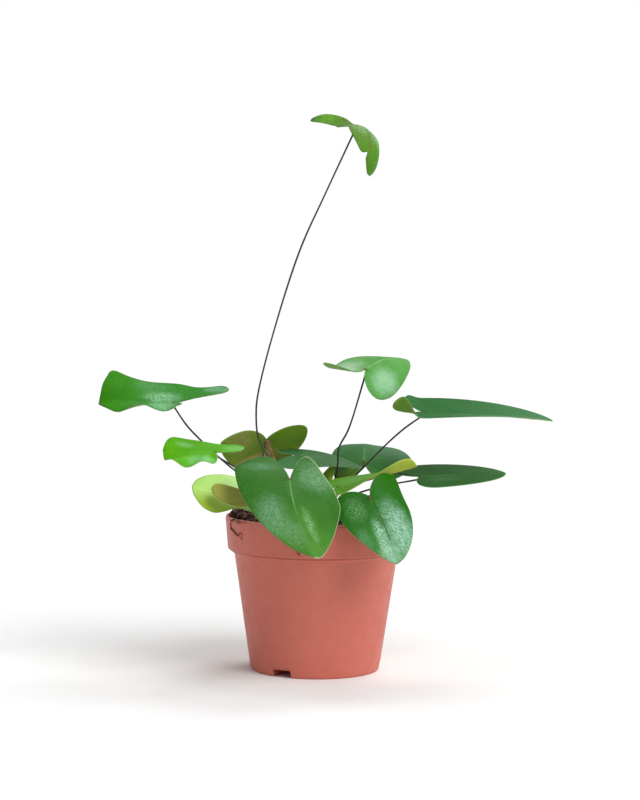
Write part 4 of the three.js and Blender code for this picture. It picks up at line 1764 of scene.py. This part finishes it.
def front_fronds() -> list[Frond]:
    """List the fronds in front, over the rim and in the middle.

    Returns:
        The fronds, in the order that they are built.
    """
    centre = LeafFinish(
        (44, 104, 24), (140, 190, 120), (110, 130, 60), (74, 132, 44), length=51, margin=(196, 208, 160),
        margin_share=(0.75, 0.12), rib_share=0.35, rib_end=0.55,
        # All these patches are painted sheen.
        patches=(
            Patch((27, -14), (20, 11), (124, 168, 134), 0.7, -12),
            Patch((37, -6), (13, 9), (116, 164, 116), 0.6),
            Patch((-5, 15), (15, 17), (122, 168, 128), 0.65),
            Patch((-10, -16), (6, 14), (110, 156, 122), 0.5),
            Patch((30, 8), (14, 6), (150, 190, 140), 0.6, 10, grain=1.0),
        ),
    )
    right = LeafFinish(
        (28, 103, 4), (110, 170, 80), (110, 130, 60), (56, 128, 48), rough=0.36, gloss=0.15, relief=0.7,
        length=43, rib=(44, 84, 30), rib_share=0.75, rib_end=0.9,
        # All these patches are painted sheen; the third is a painted highlight beside the midrib.
        patches=(
            Patch((23, 10), (27, 14), (160, 204, 182), 0.95, grain=0.8),
            Patch((37, -2), (13, 9), (154, 196, 170), 0.8, grain=0.5),
            Patch((25, -4), (16, 5), (160, 206, 176), 0.9, grain=0.85),
            Patch((4, -11), (12, 8), (124, 178, 120), 0.55, grain=1.0),
            Patch((25, -14), (12, 5), (112, 160, 124), 0.45),
        ),
    )
    low = LeafFinish(
        (34, 96, 28), (96, 150, 96), (160, 160, 60), (44, 104, 40), length=51, margin_share=(0.15, 0.2),
        # The patch is painted sheen.
        patches=(Patch((12, -8), (14, 9), (100, 146, 100), 0.3),),
    )
    fresh = LeafFinish(
        (84, 148, 26), (150, 190, 110), (172, 180, 50), (96, 160, 30), length=47, margin=(180, 196, 100),
        margin_share=(0.5, 0.5), under_tip=(176, 200, 66),
        # The first patch is painted sheen; the second is a brown tint of the underside.
        patches=(
            Patch((10, 5), (18, 6), (112, 166, 96), 0.6),
            Patch((40, -9), (6, 4), (200, 150, 76), 0.4, upper=False),
        ),
    )
    small = LeafFinish(
        (80, 152, 62), (170, 214, 150), (110, 160, 60), (90, 158, 76), length=40, margin_share=(0.2, 0.2),
        # Both patches are painted sheen.
        patches=(
            Patch((6, -13), (15, 13), (166, 212, 174), 0.7, grain=0.2),
            Patch((-6, 12), (20, 15), (176, 204, 176), 0.85, grain=0.2),
        ),
    )
    return [
        Frond(
            "front_centre", (-3, -5), (-14.7, -61, 114.6), -86, -32, 51, Slot.DARK, centre,
            via=((-12, -42, 106),), roll=-9, width=60, lobe=(18, 21), arch=30, curl=(-8, -14),
            widest=(0.2, -0.18), lobe_bend=(-20, 5), tip_fold=(-48, -15), fold=(-2, 0),
            lobe_spread=(0.16, 0.2), sway=14, shoulder=(0.1, 0.2), tip_width=0.3,
        ),
        Frond(
            "front_right", (4, -5), (29.9, -50, 104.1), -52, -46, 43, Slot.DARK, right,
            via=((25, -29, 99),), roll=4, width=(48, 42), lobe=(17, 9), arch=12, curl=(-14, -14),
            fold=(0, -25), sway=-3, lobe_spread=(0.45, 0.3), shoulder=(0.6, 0.4), tip_width=0.22,
        ),
        Frond(
            "middle_young", (1, -9), (12, -22, 107), 8, 14.5, 47, Slot.LIGHT, fresh,
            via=((6, -16, 101),), width=(26, 24), lobe=(9, 9), fold=(18, -16), tip_fold=(-10, 50),
            widest=0.3, tip_width=0.7,
        ),
        Frond(
            "right_low", (8, -4), (59, -11, 112.6), 10, 4, 51, Slot.DARK, low,
            via=((31, -9, 105),), roll=12, width=44, lobe=(12, 4), arch=4, tip_width=0.3,
        ),
        Frond(
            "middle_small", (5, 1), (27.5, 0, 173.5), 48, 28, 40, Slot.MID, small,
            via=((10.5, -0.5, 110), (12, -5, 119), (12.5, -5, 128), (18, -4, 139)), width=44,
            lobe=(22, 9), arch=42, fold=(6, -50), curl=(0, -30), tip_fold=(0, -30), lobe_bend=(-45, 0),
        ),
    ]


def left_fronds() -> list[Frond]:
    """List the fronds on the left, and the tall one that leans out to the left first.

    Returns:
        The fronds, in the order that they are built.
    """
    large = LeafFinish(
        (50, 128, 36), (120, 186, 110), (96, 140, 50), (52, 130, 4), length=43.5, margin=(104, 118, 84),
        margin_share=(0.35, 0.5), rib_share=0.25, rib=(120, 186, 120), gloss=0.06,
        # All these patches are painted sheen.
        patches=(
            Patch((8, -5), (15, 9), (150, 204, 162), 0.85, grain=0.85),
            Patch((5, 12), (12, 16), (140, 200, 150), 0.85),
            Patch((-23, -17), (12, 6), (124, 168, 132), 0.9),
            Patch((14, -15), (16, 7), (90, 150, 96), 0.6),
        ),
    )
    bright = LeafFinish(
        (84, 166, 22), (150, 208, 120), (110, 140, 60), (86, 166, 0), length=30, margin_share=(0.5, 0.15),
        rib_share=0.1, gloss=0.06,
        # All these patches are painted sheen.
        patches=(
            Patch((6, 11), (12, 8), (134, 204, 132), 0.85),
            Patch((18, -8), (8, 5), (150, 204, 140), 0.6),
            Patch((-10, -8), (9, 6), (132, 188, 110), 0.8),
        ),
    )
    youngest = LeafFinish(
        (178, 214, 132), (190, 228, 150), (146, 148, 56), (160, 204, 96), length=33, under_tip=(142, 144, 52),
        margin=(104, 112, 48), margin_share=(0.3, 0.3), rib=(214, 236, 160), rib_share=0.5, rib_end=1.2,
        patches=(
            Patch((18, 12), (24, 13), (146, 172, 36), 1.0, grain=0.1),
            Patch((2, 10), (12, 9), (138, 160, 42), 0.8, grain=0.1),
        ),
    )
    fertile = LeafFinish(
        (74, 136, 34), (150, 200, 100), (120, 140, 60), (84, 146, 34), length=38.5, streak=0.15,
        rib_share=0.2, relief=0.7, margin=(96, 140, 70), net=0.6,
        # The first and third patches are painted sheen; the others are the blade's own olive, dark and yellow
        # tints.
        patches=(
            Patch((15, 4), (17, 8), (176, 214, 174), 0.9, grain=0.9),
            Patch((8, -7), (34, 16), (112, 116, 52), 0.55, grain=1.0),
            Patch((10, -4), (12, 6), (146, 194, 130), 0.7, grain=1.0),
            Patch((-12, -23), (4, 4), (70, 84, 66), 0.8, grain=0.2),
            Patch((-8, -14), (5, 9), (120, 170, 40), 0.6, grain=0.95),
        ),
    )
    return [
        Frond(
            "left_large", (-8, -1), (-83, 0, 152.5), 176, 3, 43.5, Slot.MID, large,
            via=((-44, 7, 111), (-67, 10, 130), (-76, 5, 140)), width=48, lobe=(8, 31), fold=(-4, 30),
            tip_fold=(-31, 85), lobe_bend=(0, -3), twist=3, wave=(2, 0.5), waves=5.8, phase=296,
            outline=LARGE_OUTLINE,
        ),
        Frond(
            "left_small", (-7, -5), (-58.3, -12, 125.3), 178, 2, 30, Slot.LIGHT, bright,
            via=((-45, -7, 115.5),), width=34, lobe=(2, 16), fold=(-22, 15), tip_fold=(-26, 58),
            widest=0.4, tip_width=0.45, twist=4, wave=(1.8, 0.5), waves=6, phase=119,
            lobe_spread=(0.2, 0.27), shoulder=(0.6, 0.6),
        ),
        Frond(
            "left_young", (-6, -9), (-38, -38, 99), 187, 17, 33, Slot.YOUNG, youngest,
            via=((-27, -30, 96),), width=40, lobe=(26, 9), fold=(-40, 32), tip_fold=(-40, 34),
            lobe_bend=(-176, 0), outline=YOUNG_OUTLINE,
        ),
        Frond(
            "tall", (-5, -1), (20.7, 6, 314.3), -60, -5, 38.5, Slot.MID, fertile,
            via=((-28.5, -4, 123.5), (-34, -3, 134), (-35.3, -3, 148), (-34.5, -2, 158), (-27, 0, 190),
                 (-11, 2, 242), (3, 4, 274)),
            width=22, lobe=(10, 10), arch=60, fold=(-35, 0), tip_fold=(-35, 0), curl=(0, -14),
            lobe_bend=(0, -60), tip_droop=55, sway=1.5, outline=TALL_OUTLINE,
        ),
    ]


def back_fronds() -> list[Frond]:
    """List the fronds at the back and on the right, and the three youngest ones.

    Returns:
        The fronds, in the order that they are built.
    """
    fresh = LeafFinish((140, 190, 60), (190, 214, 130), (150, 160, 50), (150, 196, 60), length=13)
    small = {"width": 11, "lobe": (4, 4), "radius": 0.45, "length": 13, "slot": Slot.YOUNG, "finish": fresh}
    olive = LeafFinish(
        (96, 130, 50), (130, 150, 80), (110, 152, 36), (110, 130, 60), length=30, under_tip=(150, 150, 76),
        margin=(120, 140, 70),
        patches=(
            Patch((17, 8), (21, 6.5), (206, 180, 126), 1.0, 61, grain=0.1, upper=False),
            Patch((-1, 17), (15, 14), (166, 166, 96), 0.95, upper=False),
        ),
    )
    behind = LeafFinish(
        (54, 108, 56), (110, 156, 110), (100, 130, 60), (68, 112, 70), length=38, rib_share=0.15,
    )
    far = LeafFinish(
        (64, 124, 62), (120, 160, 120), (100, 130, 60), (86, 140, 94), length=40, rib_share=0.15,
        patches=(Patch((-10, 9), (8, 14), (150, 186, 70), 0.8),),
    )
    long = LeafFinish(
        (42, 104, 46), (120, 170, 120), (116, 156, 56), (70, 124, 80), length=75, rib_share=0.0, gloss=0.03,
        margin=(150, 186, 150), margin_share=(0.15, 0.25),
        patches=(Patch((34, -16), (36, 7), (104, 158, 110), 0.5),),
    )
    return [
        Frond(
            "back_left", (-5, 6), (-30, 22, 131), 112, -55, 30, Slot.OLIVE, olive,
            via=((-24, 15, 118),), roll=-6, width=(59, 53), lobe=(8, 9), arch=10, widest=0,
            lobe_spread=(0.24, 0.33), shoulder=(0.3, 0.5), tip_width=0.1, joint_hairs=220, scaly=True,
        ),
        Frond(
            "back_middle", (-2, 3), (-11.1, 12, 122.4), 0, -3, 38, Slot.BLUE, behind,
            via=((-8, 10, 111),), roll=9, width=(33, 42), lobe=(12, 11), arch=15, fold=(0, -9),
            tip_fold=(0, 5), widest=(0.12, -0.1),
        ),
        Frond(
            "back_right", (3, 6), (27.5, 24, 118), 85, 42, 40, Slot.BLUE, far,
            via=((20, 25, 107),), width=(40, 60), lobe=(14, 7), arch=65, fold=(-8, -40),
            widest=(0.12, 0.45), lobe_spread=(0.27, 0.2), shoulder=(0.6, 0.5), joint_hairs=90, scaly=True,
        ),
        Frond(
            "right_large", (8, 2), (62, 5, 149), 0, 0, 75, Slot.BLUE, long,
            via=((31, 4, 120.5), (49, 5, 138)), width=54, lobe=(11, 19), arch=7, lobe_bend=(-20, 0),
            fold=(15, -5), tip_fold=(22, 5), lobe_curl=(0, 78), curl_start=-0.05, curl_span=0.14,
            widest=(-0.08, 0.12),
        ),
        Frond("young_right", (6, 5), (15, 9, 107), 25, 33, **small),
        Frond("young_middle", (3, 1), (4, 4, 107), 40, 55, **small),
        Frond("young_front", (9, -8), (21, -16, 101), 0, 5, **small),
    ]


# Each dried root's points, as the angle round the pot, the height and the thickness
ROOT_LINES = (
    ((-144.5, 88.5, 0.3), (-149, 88.4, 0.34), (-155, 88, 0.3), (-158, 86.4, 0.22), (-158, 84, 0.2),
     (-157.2, 82.4, 0.42), (-154, 81.8, 0.5), (-151.8, 81, 0.42), (-148, 79.4, 0.3)),
    ((-151, 88.6, 0.5), (-154.5, 87.8, 0.42), (-156, 86.6, 0.16)),
    ((-151.8, 80.8, 0.2), (-148, 79.6, 0.42), (-145.3, 81.4, 0.26), (-143.2, 80.4, 0.22),
     (-144.6, 78.4, 0.2), (-142.4, 77.4, 0.14)),
    ((-139.5, 88.4, 0.16), (-146, 87, 0.2), (-150, 86.2, 0.12)),
    ((-102.3, 75, 0.14), (-101.4, 73, 0.2), (-100.4, 71.8, 0.26), (-99.2, 73.4, 0.16), (-99.6, 75.2, 0.12)),
)


@dataclass
class RimRoots:
    """Dried root fibres that lie on the outside of the rim."""

    pot: Pot
    steps: int = 26
    crumbs: int = 80
    highest: float = 87.5
    finish: EarthFinish = EarthFinish((70, 36, 30), (140, 88, 70), scale=1.0, rough=0.7, relief=0.1)

    def on_rim(self, angle: float, z: float, lift: float) -> Vector:
        """Find a point just outside the rim band.

        Args:
            angle: The angle round the pot, in degrees.
            z: The height.
            lift: How far it lies off the plastic.

        Returns:
            The point.
        """
        share = (z - self.pot.band_foot) / (self.pot.height - self.pot.band_foot)
        radius = lerp(self.pot.band_foot_radius, self.pot.rim_radius, share) + lift
        turn = math.radians(angle)
        return Vector((radius * math.cos(turn), radius * math.sin(turn), z))

    def build(self, groups: Groups, rng: random.Random) -> None:
        """Build and dress the fibres, and the dirt beside them.

        Args:
            groups: The shared node groups.
            rng: The source of chance.
        """
        strands = []
        for line in ROOT_LINES:
            knots = [self.on_rim(angle, z, 0.2 + 0.5 * thick) for angle, z, thick in line]
            route = Route(spline_points(knots, 0.5, 6))
            strand = []
            for step in range(self.steps + 1):
                place = step / self.steps * (len(line) - 1)
                first = min(int(place), len(line) - 2)
                thick = lerp(line[first][2], line[first + 1][2], place - first)
                strand.append((route.at(step / self.steps), thick * (0.85 + 0.3 * math.sin(2.3 * step))))
            strands.append(strand)
        root = self.finish.material("dried_root", groups)
        finished("rim_roots", strand_mesh("rim_roots", strands, 1), Slot.SOIL, root)
        finished("rim_dirt", self.dirt_and_shade(rng), Slot.SOIL, self.finish.material("rim_dirt", groups))
        LOG.info("rim roots: %d", len(ROOT_LINES))

    def dirt_and_shade(self, rng: random.Random) -> bpy.types.Mesh:
        """Stick small crumbs to the rim beside the fibres.

        Args:
            rng: The source of chance.

        Returns:
            The mesh of all crumbs.
        """
        form = bmesh.new()
        for _ in range(self.crumbs):
            angle, z, _ = rng.choice(rng.choice(ROOT_LINES))
            size = rng.uniform(0.12, 0.38)
            beside = angle + rng.gauss(0, 1.4)
            place = self.on_rim(beside, min(self.highest, z + rng.gauss(0, 0.9)), 0.3 * size)
            squeeze = random_squeeze(rng, (0.7, 1.5), (0.6, 1.1), (0.5, 1.2))
            turn = Matrix.Rotation(rng.uniform(0, 6), 4, "Z")
            add_crumb(form, place, size, turn @ squeeze)
        return mesh_of("rim_dirt", form, smooth=False)


# The studio


@dataclass(frozen=True)
class Lamp:
    """A wide distant lamp: where its light comes from, its spread in degrees and its strength."""

    name: str
    source: Triple
    spread: float
    strength: float

    def build(self) -> None:
        """Place the lamp."""
        data = bpy.data.lights.new(self.name, "SUN")
        data.angle = math.radians(self.spread)
        data.energy = self.strength
        placed(self.name, data).rotation_euler = Vector(self.source).to_track_quat("Z", "Y").to_euler()


@dataclass
class Studio:
    """The floor, the lights and the camera at the photograph's viewing angle.

    The eye is in millimetres, the tilt and lean in degrees, and the floor's half width in metres.
    """

    eye: Triple = (1.4, -1067.0, 200.6)
    tilt: float = 2.42
    lean: float = 0.6
    image_height: float = 800.0
    focal_pixels: float = 1849.0
    sensor: float = 36.0
    ambient: float = 0.45
    backdrop: float = 1.0
    floor_size: float = 6.0
    lamps: tuple[Lamp, ...] = (Lamp("key", (0.6, -0.6, 0.8), 40, 2.2), Lamp("top", (0.3, 0.5, 1.0), 25, 1.0))

    def camera(self) -> None:
        """Place the camera."""
        data = bpy.data.cameras.new("camera")
        data.sensor_width = self.sensor
        data.lens = self.focal_pixels * self.sensor / self.image_height
        tilt, lean = math.radians(self.tilt), math.radians(self.lean)
        look = Vector((0, math.cos(tilt), -math.sin(tilt)))
        level = Vector((1, 0, 0))
        above = level.cross(look)
        right = level * math.cos(lean) + above * math.sin(lean)
        up = above * math.cos(lean) - level * math.sin(lean)
        turn = Matrix((right, up, -look)).transposed()
        holder = placed("camera", data)
        holder.matrix_world = Matrix.Translation(Vector(self.eye) * MM) @ turn.to_4x4()
        bpy.context.scene.camera = holder

    def floor(self) -> None:
        """Lay the pale floor."""
        form = bmesh.new()
        bmesh.ops.create_grid(form, x_segments=4, y_segments=4, size=self.floor_size)
        graph, shader, material = new_material("pale_floor")
        grain = graph.noise(graph.node("TexCoord", {}).outputs["Object"], 3.0, 2.0)
        colour = graph.blend(grain, (0.86, 0.86, 0.86, 1), (0.9, 0.9, 0.9, 1))
        graph.feed(shader.inputs["Base Color"], colour)
        shader.inputs["Roughness"].default_value = 0.9
        floor = placed("floor", mesh_of("floor", form))
        floor.data.materials.append(material)

    def world(self) -> None:
        """Surround the plant with white that lights it softly."""
        world = bpy.data.worlds.new("studio")
        world.use_nodes = True
        graph = Graph(world.node_tree)
        background = world.node_tree.nodes["Background"]
        background.inputs["Color"].default_value = (1, 1, 1, 1)
        seen = graph.node("LightPath", {}).outputs["Is Camera Ray"]
        graph.feed(background.inputs["Strength"], graph.step(seen, 0.0, 1.0, self.ambient, self.backdrop))
        bpy.context.scene.world = world

    def build(self) -> None:
        """Build the whole studio."""
        self.floor()
        self.world()
        for lamp in self.lamps:
            lamp.build()
        self.camera()
        bpy.context.scene.view_settings.view_transform = "Standard"
        LOG.info("studio")


def main() -> None:
    """Build the whole scene."""
    logging.basicConfig(level=logging.INFO, format="%(name)s: %(message)s")
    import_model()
    rng = random.Random(SEED)
    noise.seed_set(SEED)
    groups = Groups()
    pot = Pot()
    pot.build(groups)
    soil = Soil(pot)
    soil.build(groups, rng)
    Crown().build(groups, rng)
    stalk = StalkFinish().material("stipe_black", groups)
    fuzz = EarthFinish((112, 76, 54), (182, 140, 108), scale=1.0, rough=0.6, relief=0.05)
    coat = fuzz.material("stipe_hair", groups)
    for frond in front_fronds() + left_fronds() + back_fronds():
        frond.build(groups, soil, stalk, coat, rng)
    RimRoots(pot).build(groups, rng)
    Studio().build()
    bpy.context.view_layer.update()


if __name__ == "__main__":
    main()
